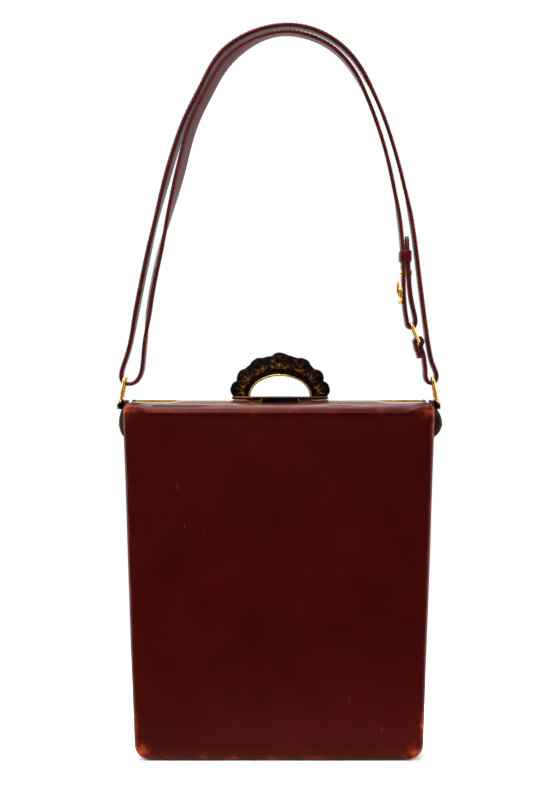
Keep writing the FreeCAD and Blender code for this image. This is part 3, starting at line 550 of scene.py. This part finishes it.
def lining_wall(name, side):
    """Lining of the front (-1) or back (1), from the base up to the frame bar."""
    points, rows = [], []
    for z in LINING_HEIGHTS:
        wide = half_width(max(z, 13.0)) - 4.4
        deep = half_depth(max(min(z, 262.0), 7.0)) - LINING_IN
        deep -= BEND_IN * bell(z - FLEX_HIGH, 7)
        rows.append([(-wide + 2 * wide * i / 40, -deep, z) for i in range(41)])
    last = rows[-1]
    for step in (1, 2, 3):
        rows.append([(x, y + (-5.6 - y) * step / 3, z) for x, y, z in last])
    for row in rows:
        for x, y, z in row:
            slack = 0.5 * abs(noise.noise(Vector((x, z, 9.0 * side)) * 0.02))
            points.append((x, side * -(y + slack), z))
    faces = flipped(grid_faces(len(rows), 41), side < 0)
    return add_mesh(name, points, faces, SUEDE)


for side, word in FRONT_BACK:
    lining = lining_wall(word + "_suede", side)
    thicken(lining, 0.7)
    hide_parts(word + "_lining", word + "_cover_lining")
    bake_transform(lining)


def side_suede():
    """Lining of both gussets and their tongues."""
    points, faces = [], []
    for side in (-1, 1):
        start = len(points)
        for z in LINING_HEIGHTS:
            wide = side_x(z) - drawn_in(max(z, 13.0), BASE_CORNER) - 4.2
            low = half_depth(max(min(z, 262.0), 7.0)) - 4.6
            deep = low + (6.8 - low) * ease(FLEX_LOW - 4, FLEX_LOW + 6, z)
            for i in range(13):
                y = deep * (-1 + i / 6)
                points.append((side * (wide - 0.3 * abs(noise.noise(Vector((y, z, side)) * 0.03))), y, z))
        faces += flipped(grid_faces(len(LINING_HEIGHTS), 13, start=start), side > 0)
    return add_mesh("side_suede", points, faces, SUEDE)


sides = side_suede()
thicken(sides, 0.6, 1.0)
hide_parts("side_linings")
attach(sides, "bag")
floor_suede = base_wall("base_suede", 4.2, 4.6, SUEDE, 0.3)
thicken(floor_suede, 0.7, 0.0)
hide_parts("base_lining")
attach(floor_suede, "bag")


# ---- gusset folds ---------------------------------------------------------------------------
# Four soft pleats, oxblood outside and suede inside, tucked in between each tongue and the
# opening half beside it.
FOLD_X, FOLD_Y = 113.4, 7.3               # where the fold starts, beside the tongue


def pleat_mesh(name, side):
    """Soft gusset folds that tuck inwards between each tongue and its opening half."""
    points, faces = [], []
    for end in (-1, 1):
        start = len(points)
        heights = [229 + 37 * j / 16 for j in range(17)]
        for z in heights:
            deep = min(12.2, half_depth(min(z, 262)) - 5.5)
            tuck = 9.5 - 2.0 * ease(256, 266, z)
            for i in range(15):
                u = i / 14
                y = FOLD_Y + (deep - FOLD_Y) * u
                fold = 1 - abs(2 * u - 1) ** 1.5
                points.append((end * (FOLD_X - tuck * fold), side * y, z))
        faces += grid_faces(len(heights), 15, start=start)
    made = add_mesh(name, points, faces, OXBLOOD)
    made.data.materials.append(SUEDE)
    return mark(made, "wear", [0.0] * len(points))


for side, word in FRONT_BACK:
    pleats = pleat_mesh(word + "_gusset_folds", side)
    thicken(pleats, 0.9, 0.0, material_offset=1)
    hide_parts(word + "_pleats")
    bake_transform(pleats)


# ---- pockets --------------------------------------------------------------------------------
# Two suede patch pockets sewn to the linings: an open slip pocket at the back with a turned
# hem, and at the front a pocket that is closed by a zip on its cotton tape.


def pocket_mesh(name, side, half, low, high, hem):
    """Patch pocket on a lining: slightly slack, with a turned hem along its top."""
    points = []
    columns, rows = 40, 22
    for j in range(rows + 1):
        v = j / rows
        z = low + (high - low) * v
        surface = half_depth(z) - 4.5
        for i in range(columns + 1):
            u = -1 + 2 * i / columns
            slack = 0.25 + 0.8 * (1 - u ** 6) * (1 - (2 * v - 1) ** 6)
            turned = 0.5 if hem and v > 0.93 else 0.0
            points.append((half * u, side * (surface - slack - turned), z))
    faces = flipped(grid_faces(rows + 1, columns + 1), side < 0)
    return add_mesh(name, points, faces, SUEDE)


for name, shape in (("slip_pocket", (1, 75, 60, 170, True)), ("zip_pocket", (-1, 80, 62, 162, False))):
    pocket = pocket_mesh(name + "_suede", *shape)
    thicken(pocket, 0.8)
    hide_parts(name)
    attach(pocket, "bag")


# ---- zip ------------------------------------------------------------------------------------
# Twill cotton tape sewn across the mouth of the front pocket, with two rows of brass teeth, a
# slider and its pull. The same polished brass makes the bars, rings and buckle further on.


def tape_finish():
    """Woven cotton zip tape: a twill whose ribs come out about 0.9 mm apart."""
    made, add, here = material("cotton_zip_tape")
    rib = add("TexWave", {"Vector": here, "Scale": 420.0, "Distortion": 0.6},
              bands_direction="DIAGONAL")
    tone = add("ValToRGB", {0: (rib, "Fac")}, [(0.2, colour("2a1512")), (0.8, colour("4a2a22"))])
    dents = add("Bump", {"Height": (rib, "Fac"), "Strength": 0.6, "Distance": 0.12 * MM})
    return finished(made, add, {"Base Color": (tone, 0), "Roughness": 0.9, "Normal": (dents, 0)})


tape = pocket_mesh("zip_tape_cloth", -1, 80, 162, 186, False)
tape.data.materials[0] = tape_finish()
thicken(tape, 0.8)
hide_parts("zip_tape")
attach(tape, "bag")


def brushed(made, add, here, tone, rough):
    """Closes a metal with hairline marks."""
    along = add("Mapping", {"Vector": here, "Scale": (0.08, 1, 1)})
    hair = add("TexNoise", {"Vector": (along, 0), "Scale": per(0.6), "Detail": 3})
    dents = add("Bump", {"Height": (hair, "Fac"), "Strength": 0.4, "Distance": 0.006 * MM})
    return finished(made, add, {"Base Color": tone, "Metallic": 1.0, "Roughness": rough,
                                "Normal": (dents, 0)})


def metal_finish(name, bright, dull, low, high):
    """Polished metal: hairline marks, and a tarnish in slow clouds that dulls colour and gloss."""
    made, add, here = material(name)
    cloud = add("TexNoise", {"Vector": here, "Scale": per(11), "Detail": 6})
    tone = add("ValToRGB", {0: (cloud, "Fac")}, [(0.35, colour(dull)), (0.6, colour(bright))])
    rough = add("MapRange", {"Value": (cloud, "Fac"), "To Min": low, "To Max": high})
    return brushed(made, add, here, (tone, 0), (rough, 0))


BRASS = metal_finish("polished_brass", "f2cc7a", "c89440", 0.24, 0.38)
ZIP_HALF, ZIP_Z, TEETH = 75, 174, 100


def teeth_mesh():
    """Two rows of small interlocked metal teeth along the middle of the tape."""
    points, faces = [], []
    surface = -(half_depth(ZIP_Z) - 4.5 - 1.05)
    for i in range(TEETH):
        x = ZIP_HALF * (-1 + 2 * i / (TEETH - 1))
        middle = ZIP_Z + (0.75 if i % 2 else -0.75)
        base = len(points)
        for dx, dy, dz in ((-0.5, -0.2, -1.7), (0.5, -0.2, -1.7), (0.5, -0.2, 1.7), (-0.5, -0.2, 1.7),
                           (-0.32, 1.15, -1.3), (0.32, 1.15, -1.3), (0.32, 1.15, 1.3), (-0.32, 1.15, 1.3)):
            points.append((x + dx, surface + dy, middle + dz))
        faces += [tuple(base + k for k in quad) for quad in
                  ((4, 5, 6, 7), (0, 1, 5, 4), (1, 2, 6, 5), (2, 3, 7, 6), (3, 0, 4, 7), (3, 2, 1, 0))]
    return add_mesh("zip_teeth", points, faces, BRASS, smooth=False)


teeth = teeth_mesh()
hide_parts("zip_chain")
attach(teeth, "bag")
dress("zip_slider", BRASS, 0.25)
dress("zip_pull", BRASS, 0.25)


# ---- frame bars -----------------------------------------------------------------------------
# Two bars of polished brass with rounded edges, one for each half of the mouth. They turn on a
# pin at each side of the bag.
for name in ("front_frame_bar", "back_frame_bar"):
    dress(name, BRASS, 1.1)
dress("frame_pins", BRASS, 0)


# ---- studs, lugs and rings ------------------------------------------------------------------
# On each side a blackened steel stud through the tongue, a cast lug that swings on it, worn
# round at its edges, and a ring of bright brass wire for the strap.
BLACK_STEEL = metal_finish("blackened_steel", "1c1817", "0b0909", 0.25, 0.45)
for name in ("left_ring", "right_ring"):
    dress(name, BRASS, 0)
dress("ring_studs", BLACK_STEEL, 0.3)
for name in ("left_lug", "right_lug"):
    lug = dress(name, BLACK_STEEL, 0)
    modify(lug, "cast", "REMESH", mode="VOXEL", voxel_size=0.3 * MM, use_smooth_shade=True)
    modify(lug, "soften", "SMOOTH", factor=0.7, iterations=14)


# ---- side tabs ------------------------------------------------------------------------------
# Leaf-shaped tabs of padded leather over the foot of each lug, held to the tongue by a
# blackened rivet that is sunk into the crown of the padding. Their leather is a dark brown copy
# of the strap's, coloured as painted shade.
# Dark brown copy of the strap's leather: painted shade, standing for that leather in shadow.
TAB_SHADED_LEATHER = leather_finish("tab_leather_painted_shade", "261408", "140a05", "38200f", "56361b",
                             shine=0.02, scratch=False)
TAB_TOP, TAB_TALL, TAB_HALF = 271.0, 27.6, 10.0
TAB_SWELL = {-1: 4.6, 1: 7.3}       # the left tab is pressed flatter than the right one
RIVET_Z = 254.9


def tab_lift(side, y, z):
    """How far the padded tab stands off the tongue."""
    down = min(max((TAB_TOP - z) / TAB_TALL, 0.0), 1.0)
    crown = sin(pi * down ** 1.15) ** 0.8 * (1 - 0.45 * (y / TAB_HALF) ** 2)
    return 0.6 + (TAB_SWELL[side] - 0.6) * crown


def tab_mesh(name, side):
    """Leaf-shaped leather tab: a padded dome, notched at its top for the lug that swings there."""
    rings, spokes = 18, 64
    points = []
    for j in range(rings + 1):
        reach = j / rings
        for i in range(spokes):
            angle = tau * i / spokes
            c, s = cos(angle), sin(angle)
            y = TAB_HALF * reach * copysign(abs(c) ** 0.75, c)
            z = TAB_TOP + TAB_TALL / 2 * (reach * copysign(abs(s) ** 0.75, s) - 1)
            z = min(z, 266.2 + 4.8 * ease(3.2, 6.0, abs(y)))
            lift = tab_lift(side, y, z) * (1 - 0.85 * reach ** 7)
            rim = 0.35 * bell(reach - 0.86, 0.05)
            points.append((side * (side_x(z) + lift - rim), y, z))
    for i in range(spokes):
        x, y, z = points[rings * spokes + i]
        points.append((side * (side_x(z) - 0.1), y, z))
    faces = flipped(grid_faces(rings + 2, spokes, ring=True), side > 0)
    made = add_mesh(name, points, faces, TAB_SHADED_LEATHER)
    return mark(made, "wear", [0.35 * (j / (rings + 1)) ** 6
                               for j in range(rings + 2) for i in range(spokes)])


for side, word in LEFT_RIGHT:
    tab = tab_mesh(word + "_tab_leather", side)
    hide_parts(word + "_tab")
    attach(tab, "bag")


def rivet_mesh():
    """Low domed rivet heads, set into the crowns of the two tabs."""
    points, faces = [], []
    around, radius = 24, 1.9
    for side in (-1, 1):
        crown = side_x(RIVET_Z) + tab_lift(side, 0, RIVET_Z)
        start = len(points)
        for reach, rise in ((0.05, 0.55), (0.45, 0.5), (0.8, 0.32), (1.0, 0.0), (1.0, -0.8)):
            for i in range(around):
                angle = side * tau * i / around
                points.append((side * (crown - 0.35 + rise), radius * reach * cos(angle),
                               RIVET_Z + radius * reach * sin(angle)))
        faces += flipped(grid_faces(5, around, ring=True, start=start))
        faces.append(tuple(start + i for i in range(around)))
        faces.append(tuple(start + 4 * around + i for i in reversed(range(around))))
    return add_mesh("tab_rivet_heads", points, faces, BLACK_STEEL)


rivets = rivet_mesh()
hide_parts("tab_rivets")
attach(rivets, "bag")


# ---- clasp plate and strike -----------------------------------------------------------------
# Boat-shaped plate of antiqued bronze that lies on the bars, hinged on the back one. Its lower
# edge is coloured a nearly black red-brown as painted shade; a blackened strike, riveted to the
# front bar, stands before its middle.
BRONZE = metal_finish("antiqued_bronze", "6b4a22", "2a1a0e", 0.28, 0.5)
# Nearly black red-brown metal for the plate's lower edge: painted shade, tinted like the leather below.
BRONZE_PAINTED_SHADE = metal_finish("bronze_painted_shade", "2c0f0a", "140504", 0.3, 0.5)
CLASP_X, PLATE_TOP = 1.0, 277.0
for name in ("clasp_plate", "clasp_bracket"):
    dress(name, BRONZE, 0.3)
for name in ("clasp_rim", "strike_rivets", "clasp_pin"):
    dress(name, BRASS, 0.2)
dress("strike", BLACK_STEEL, 0.3)


def hull_mesh():
    """Rounded lower edge of the boat-shaped plate, either side of the strike, coloured as painted shade.
    """
    front = [(14.7, -7.0), (17.6, -7.0), (20.6, -6.8), (24.4, -5.6), (30.0, -3.6), (36.4, -1.3)]
    section = [(-0.05, 276.3), (-0.3, 275.9), (-0.3, 275.0), (0.1, 274.45), (1.0, 274.45), (1.0, 276.3)]
    points, faces = [], []
    for side in (-1, 1):
        start = len(points)
        for x, y in front:
            for out, z in section:
                points.append((CLASP_X + side * x, y + out, z))
        part = grid_faces(len(front), 6, ring=True, start=start)
        part += [tuple(start + i for i in reversed(range(6))), tuple(start + 30 + i for i in range(6))]
        faces += flipped(part, side < 0)
    return add_mesh("clasp_plate_hull", points, faces, BRONZE_PAINTED_SHADE)


hull = hull_mesh()
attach(hull, "clasp")


# ---- clasp arch -----------------------------------------------------------------------------
# Cast bronze arch with a scalloped outline and a worn leaf relief on both faces. The patina is
# nearly black in the hollows, and rubbed to warm brown on the heights.
INNER_HALF, INNER_RISE = 24.5, 17.3
BODY_HALF, BODY_RISE = 36.4, 32.4
SCALLOPS = [(0.0, 25.1, 9.2), (15.8, 21.9, 8.2), (26.6, 14.2, 7.3), (32.0, 5.3, 6.8)]
SCALLOPS = SCALLOPS + [(-x, z, radius) for x, z, radius in SCALLOPS[1:]]
ARCH_HALF = 2.1


def cast_finish():
    """Cast bronze under patina, which reads the height of the relief for its colour and gloss."""
    made, add, here = material("cast_antiqued_bronze")
    relief = add("Attribute", attribute_name="raised")
    speck = add("TexNoise", {"Vector": here, "Scale": per(1.6), "Detail": 5})
    total = add("Math", {0: (speck, "Fac"), 1: 0.55, 2: (relief, "Fac")}, operation="MULTIPLY_ADD")
    cloud = add("TexNoise", {"Vector": here, "Scale": per(11), "Detail": 6})
    patina = add("Math", {0: (cloud, "Fac"), 1: 0.9, 2: (total, 0)}, operation="MULTIPLY_ADD")
    scaled = add("Math", {0: (patina, 0), 1: 0.5}, operation="MULTIPLY")
    tone = add("ValToRGB", {0: (scaled, 0)},
               [(0.5, colour("120a06")), (0.74, colour("2e1c0f")), (0.96, colour("6e4a22"))])
    rough = add("MapRange", {"Value": (total, 0), "From Min": 0.5, "From Max": 1.1,
                             "To Min": 0.62, "To Max": 0.28})
    return brushed(made, add, here, (tone, 0), (rough, 0))


CAST_BRONZE = cast_finish()


def outline_reach(angle):
    """Distance from the middle of the plate to the scalloped outline."""
    c, s = cos(angle), sin(angle)
    far = 1 / hypot(c / BODY_HALF, s / BODY_RISE)
    for x, z, radius in SCALLOPS:
        along = x * c + z * s
        off = x * s - z * c
        if abs(off) < radius:
            far = max(far, along + sqrt(radius ** 2 - off ** 2))
    return far


def leaf_relief(x, z, v):
    """Height of the relief: a ribbed shell on each scallop, scrolls between, a plain inner border."""
    best = 0.0
    for cx, cz, radius in SCALLOPS:
        root_x, root_z = cx * 0.86, cz * 0.86
        reach = hypot(x - root_x, z - root_z) / (radius * 1.25)
        if reach < 1:
            fan = atan2(x - root_x, z - root_z) - atan2(cx, cz)
            ribs = 0.74 + 0.26 * cos(9 * fan)
            best = max(best, (1 - reach ** 2) ** 0.5 * ribs * ease(-0.35, 0.35, cos(fan)))
    angle = atan2(z, x)
    scroll = 0.42 * bell(v - 0.34, 0.13) * (0.6 + 0.4 * sin(26 * angle + 9 * v))
    border = 0.30 * bell(v - 0.08, 0.06)
    crumble = 0.40 * noise.noise(Vector((x, z, 3.1)) * 0.45)
    crumble += 0.30 * noise.noise(Vector((x, z, 7.7)) * 1.1)
    return max(0.0, min(1.25, 0.9 * best + scroll + border + crumble))


def arch_mesh():
    """Front face from the inner rim outwards, then the back face inwards, span by span."""
    spans, steps = 190, 26
    points, raised = [], []
    for i in range(spans + 1):
        angle = pi * i / spans
        near = 1 / hypot(cos(angle) / INNER_HALF, sin(angle) / INNER_RISE)
        rough = noise.noise(Vector((cos(angle), sin(angle), 2.0)) * 7)
        far = outline_reach(angle) + 0.5 * rough
        face = []
        for j in range(steps + 1):
            v = j / steps
            reach = near + (far - near) * v
            x, z = reach * cos(angle), reach * sin(angle)
            height = leaf_relief(x, z, v)
            fall = 1 - max(0.0, (v - 0.8) / 0.2) ** 2.5 * 0.75
            fall *= 1 - max(0.0, (0.06 - v) / 0.06) * 0.3
            face.append((x, z, (ARCH_HALF - 0.6 + 1.15 * height) * fall, height * fall))
        for x, z, deep, height in face:
            points.append((CLASP_X + x, -deep, PLATE_TOP + z))
            raised.append(height)
        for x, z, deep, height in reversed(face):
            points.append((CLASP_X + x, deep, PLATE_TOP + z))
            raised.append(height)
    ring = 2 * (steps + 1)
    faces = grid_faces(spans + 1, ring, ring=True)
    faces.append(tuple(reversed(range(ring))))
    faces.append(tuple(range(len(points) - ring, len(points))))
    made = add_mesh("clasp_arch_relief", points, faces, CAST_BRONZE)
    return mark(made, "raised", raised)


arch = arch_mesh()
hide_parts("clasp_arch")
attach(arch, "clasp")


# ---- strap ----------------------------------------------------------------------------------
# One narrow doubled strap of soft burgundy leather, padded and edge-stitched. It runs through
# both side rings and a small link, and its folded end is held by a stud, a buckle and a keeper.
STRAP_HALF, STRAP_THIN = 10.0, 1.42
RING_TOP = (119.38, 291.5)
STITCH = 3.4                              # from one stitch to the next


def arc_points(centre, radius, start, end, count):
    """Points on an arc, from a start to an end angle in degrees."""
    angles = [radians(start + (end - start) * i / (count - 1)) for i in range(count)]
    return [(centre[0] + radius * cos(a), centre[1] + radius * sin(a)) for a in angles]


def leg(points, side):
    """Strap points given as distance from the middle and height above the leather."""
    return [(side * (x + 0.38 * max(0.0, 1 - max(up, 0) / 250)), BODY_HEIGHT + up) for x, up in points]


def near_ring(points, side):
    """Strap points given from the top of a ring."""
    return [(side * (RING_TOP[0] + out), RING_TOP[1] + up) for out, up in points]


LINK_TOP, LINK_BOTTOM = leg([(102.5, 60.5), (108.2, 46.5)], 1)
STRAP_LINE = (
    leg([(108.9, 33.8), (107.9, 37.8), (106.5, 41.4)], 1)
    + arc_points(LINK_BOTTOM, 2.95, 215, -40, 9)
    + leg([(111.5, 38.1), (112.7, 31.1)], 1)
    + near_ring([(-5.6, 6.1), (-5.0, -0.4), (-2.3, -3.8), (1.0, -3.4), (3.0, -0.2), (2.7, 4.1)], 1)
    + leg([(119.4, 28.5), (116.9, 38.0), (114.6, 52.0), (112.6, 67.0), (110.3, 85.0), (107.2, 110.0),
           (102.8, 141.0), (96.2, 173.0), (87.6, 204.0), (79.4, 227.0), (70.8, 245.5), (58.5, 265.5)], 1)
    + leg([(44.5, 279.0), (26.5, 288.3), (6.2, 291.6), (-14.0, 288.3), (-32.0, 279.5)], 1)
    + leg([(45.6, 267.8), (58.6, 245.5), (71.6, 219.6), (82.8, 188.5), (91.3, 157.5), (98.9, 126.5),
           (105.6, 95.0), (111.6, 64.0), (117.0, 38.0)], -1)
    + near_ring([(1.3, 9.6), (3.0, 2.6), (2.3, -1.8), (-1.6, -4.5), (-7.0, -3.8), (-11.2, 0.8)], -1)
    + leg([(105.6, 27.0), (104.6, 37.0), (102.4, 57.0), (99.4, 79.0), (94.6, 105.0), (88.4, 132.0),
           (82.2, 157.0), (74.6, 187.0), (66.2, 216.5), (54.0, 242.0), (42.0, 262.0)], -1)
    + leg([(-29.0, 274.2), (-12.6, 282.8), (6.2, 286.2), (25.0, 282.8), (41.0, 274.6)], 1)
    + leg([(54.0, 262.0), (66.0, 242.2), (74.0, 223.0), (80.4, 204.0), (88.2, 173.0), (93.4, 143.0),
           (95.8, 119.0), (96.6, 95.0), (97.2, 77.0), (98.4, 67.0)], 1)
    + arc_points(LINK_TOP, 2.95, 180, 350, 6)
    + leg([(105.0, 68.0), (102.8, 78.0), (101.0, 93.0), (100.0, 111.0), (99.2, 128.5)], 1))


def natural_spline(stations, values):
    """Second derivatives of the smooth curve through values at the stations."""
    count = len(stations)
    upper = [0.0] * count
    part = [0.0] * count
    for i in range(1, count - 1):
        before = stations[i] - stations[i - 1]
        after = stations[i + 1] - stations[i]
        slope = (values[i + 1] - values[i]) / after - (values[i] - values[i - 1]) / before
        divide = 2 * (before + after) - before * upper[i - 1]
        upper[i] = after / divide
        part[i] = (6 * slope - before * part[i - 1]) / divide
    bends = [0.0] * count
    for i in range(count - 2, 0, -1):
        bends[i] = part[i] - upper[i] * bends[i + 1]
    return bends


def smooth_line(points, step):
    """Points at about equal steps along the smooth curve through points."""
    stations = [0.0]
    for (x0, z0), (x1, z1) in zip(points, points[1:]):
        stations.append(stations[-1] + hypot(x1 - x0, z1 - z0))
    bends = [natural_spline(stations, [p[axis] for p in points]) for axis in (0, 1)]
    line = []
    for i in range(len(points) - 1):
        span = stations[i + 1] - stations[i]
        count = max(int(round(span / step)), 1)
        for k in range(count):
            b = k / count
            a = 1 - b
            line.append(tuple(
                a * points[i][axis] + b * points[i + 1][axis]
                + ((a ** 3 - a) * bends[axis][i] + (b ** 3 - b) * bends[axis][i + 1]) * span ** 2 / 6
                for axis in (0, 1)))
    return line + [tuple(points[-1])]


def strap_twist(x, z, inner):
    """Angle that the strap turns about its own line: its inner face shows on the upper left."""
    if x < 0:
        low = ease(318, 345, z) * (1 - ease(385, 420, z))
        high = ease(400, 455, z) * (1 - ease(-45, 0, x))
        return (-14 if inner else -7) * high + (9 if inner else -3) * low
    return 5 * ease(415, 440, z) * (1 - ease(505, 530, z)) * ease(15, 50, x)


STRAP_SHAPE = [(-1.0, 0.0), (-0.985, 0.62), (-0.93, 0.95), (-0.85, 0.80), (-0.76, 0.98), (-0.4, 1.04),
               (0, 1.06), (0.4, 1.04), (0.76, 0.98), (0.85, 0.80), (0.93, 0.95), (0.985, 0.62)]
STRAP_SHAPE = STRAP_SHAPE + [(-u, -t) for u, t in STRAP_SHAPE]


def strap_frame(line, i):
    """Place, across and outward directions of the strap at a sample."""
    x0, z0 = line[max(i - 1, 0)]
    x1, z1 = line[min(i + 1, len(line) - 1)]
    along = Vector((x1 - x0, 0, z1 - z0)).normalized()
    out = Vector((along.z, 0, -along.x))
    inner = i > len(line) * 0.52
    angle = radians(strap_twist(*line[i], inner)) * (-1 if inner else 1)
    across = Vector((0, 1, 0)) * cos(angle) + out * sin(angle)
    out = out * cos(angle) - Vector((0, 1, 0)) * sin(angle)
    return Vector((line[i][0], 0, line[i][1])), across, out


def strap_mesh():
    """The whole strap as one padded band; returns it and its middle line."""
    line = smooth_line(STRAP_LINE, 0.85)
    points = []
    run = 0.0
    total = sum(dist(a, b) for a, b in zip(line, line[1:]))
    for i in range(len(line)):
        if i:
            run += dist(line[i], line[i - 1])
        place, across, out = strap_frame(line, i)
        tip = min(1.0, sqrt(max(1 - (1 - min((total - run) / 9.0, 1.0)) ** 2, 0.01)))
        pinch = cos(2 * pi * run / STITCH)
        sway = 0.22 * noise.noise(Vector((run * 0.03, 0.5, 0)))
        for u, t in STRAP_SHAPE:
            edge = ease(0.8, 0.95, abs(u))
            wide = STRAP_HALF * u * tip
            thin = STRAP_THIN * t * (1 + 0.16 * pinch * edge)
            points.append(tuple(place + across * wide + out * (thin + (sway if tip > 0.9 else 0))))
    ring = len(STRAP_SHAPE)
    faces = grid_faces(len(line), ring, ring=True)
    faces.append(tuple(range(ring)))
    faces.append(tuple(reversed(range(len(points) - ring, len(points)))))
    made = add_mesh("strap_leather", points, faces, STRAP_FINISH)
    mark(made, "wear", [0.12 + 0.3 * abs(noise.noise(Vector(p) * 0.05)) for p in points])
    return made, line


def stitch_mesh(line):
    """Short raised stitches along both edges and both faces of the strap."""
    points, faces = [], []
    run, next_stitch = 0.0, 8.0
    for i in range(1, len(line)):
        run += dist(line[i], line[i - 1])
        if run < next_stitch or i > len(line) - 12:
            continue
        next_stitch += STITCH
        place, across, out = strap_frame(line, i)
        along = across.cross(out).normalized()
        for edge in (-0.85, 0.85):
            for face in (-1, 1):
                centre = place + across * (STRAP_HALF * edge) + out * (face * STRAP_THIN * 0.86)
                base = len(points)
                for reach, size in ((-1.15, 0.1), (-0.8, 0.26), (0, 0.34), (0.8, 0.26), (1.15, 0.1)):
                    for k in range(6):
                        turn = tau * k / 6
                        spot = centre + along * reach + across * (size * cos(turn))
                        points.append(tuple(spot + out * (size * sin(turn))))
                faces += grid_faces(5, 6, ring=True, start=base)
    return add_mesh("strap_stitching", points, faces, THREAD)


STRAP_FINISH = leather_finish("strap_burgundy_leather", "3e080b", "260406", "5a1812", "7a3a28",
                              shine=0.5, scratch=False)


def thread_finish():
    """Waxed burgundy thread: a twisted ply, drawn at 0.5 mm."""
    made, add, here = material("waxed_burgundy_thread")
    twist = add("TexNoise", {"Vector": here, "Scale": per(0.5), "Detail": 2})
    tone = add("ValToRGB", {0: (twist, "Fac")}, [(0.3, colour("2a080b")), (0.7, colour("5c1c1e"))])
    dents = add("Bump", {"Height": (twist, "Fac"), "Strength": 1.0, "Distance": 0.05 * MM})
    return finished(made, add, {"Base Color": (tone, 0), "Roughness": 0.55, "Normal": (dents, 0)})


THREAD = thread_finish()
strap, strap_line = strap_mesh()
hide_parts("strap_outer", "strap_inner", "strap_tail", "strap_return")
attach(strap, "strap")
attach(stitch_mesh(strap_line), "strap")


# ---- keeper, buckle and link ----------------------------------------------------------------
# A leather loop of the strap's own leather, and the brass that the strap's end is made fast
# with: the wire link, the stud, and the buckle with its prong.


def keeper_mesh():
    """Leather loop that holds the tail: a band with a soft crown, a little pulled in at its edges."""
    low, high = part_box("strap_keeper")
    x0, y0, z0 = (value / MM for value in low)
    x1, y1, z1 = (value / MM for value in high)
    middle_x, half_x, half_y = (x0 + x1) / 2, (x1 - x0) / 2, (y1 - y0) / 2
    points = []
    rows, columns = 13, 48
    for layer in (0, 1):
        for j in range(rows):
            v = -1 + 2 * j / (rows - 1)
            z = (z0 + z1) / 2 + v * (z1 - z0) * 0.36
            pull = 0.25 + 0.2 * v ** 4 + 0.65 * layer
            for i in range(columns):
                angle = tau * i / columns
                c, s = cos(angle), sin(angle)
                x = middle_x + (half_x - pull) * copysign(abs(c) ** 0.28, c)
                y = (half_y - pull) * copysign(abs(s) ** 0.28, s)
                points.append((x, y, z))
    inner = rows * columns
    faces = grid_faces(rows, columns, ring=True)
    faces += flipped(grid_faces(rows, columns, ring=True, start=inner))
    for i in range(columns):
        after = (i + 1) % columns
        top = (rows - 1) * columns
        faces.append((after, i, inner + i, inner + after))
        faces.append((top + i, top + after, inner + top + after, inner + top + i))
    made = add_mesh("keeper_leather", points, faces, STRAP_FINISH)
    return mark(made, "wear", [0.25 * abs((p[2] - (z0 + z1) / 2) / (z1 - z0) * 2) ** 4 for p in points])


keeper = keeper_mesh()
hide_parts("strap_keeper")
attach(keeper, "strap")
for name, bevel in (("link_ring", 0), ("strap_stud", 0), ("buckle_frame", 0.3), ("buckle_prong", 0.3)):
    dress(name, BRASS, bevel)
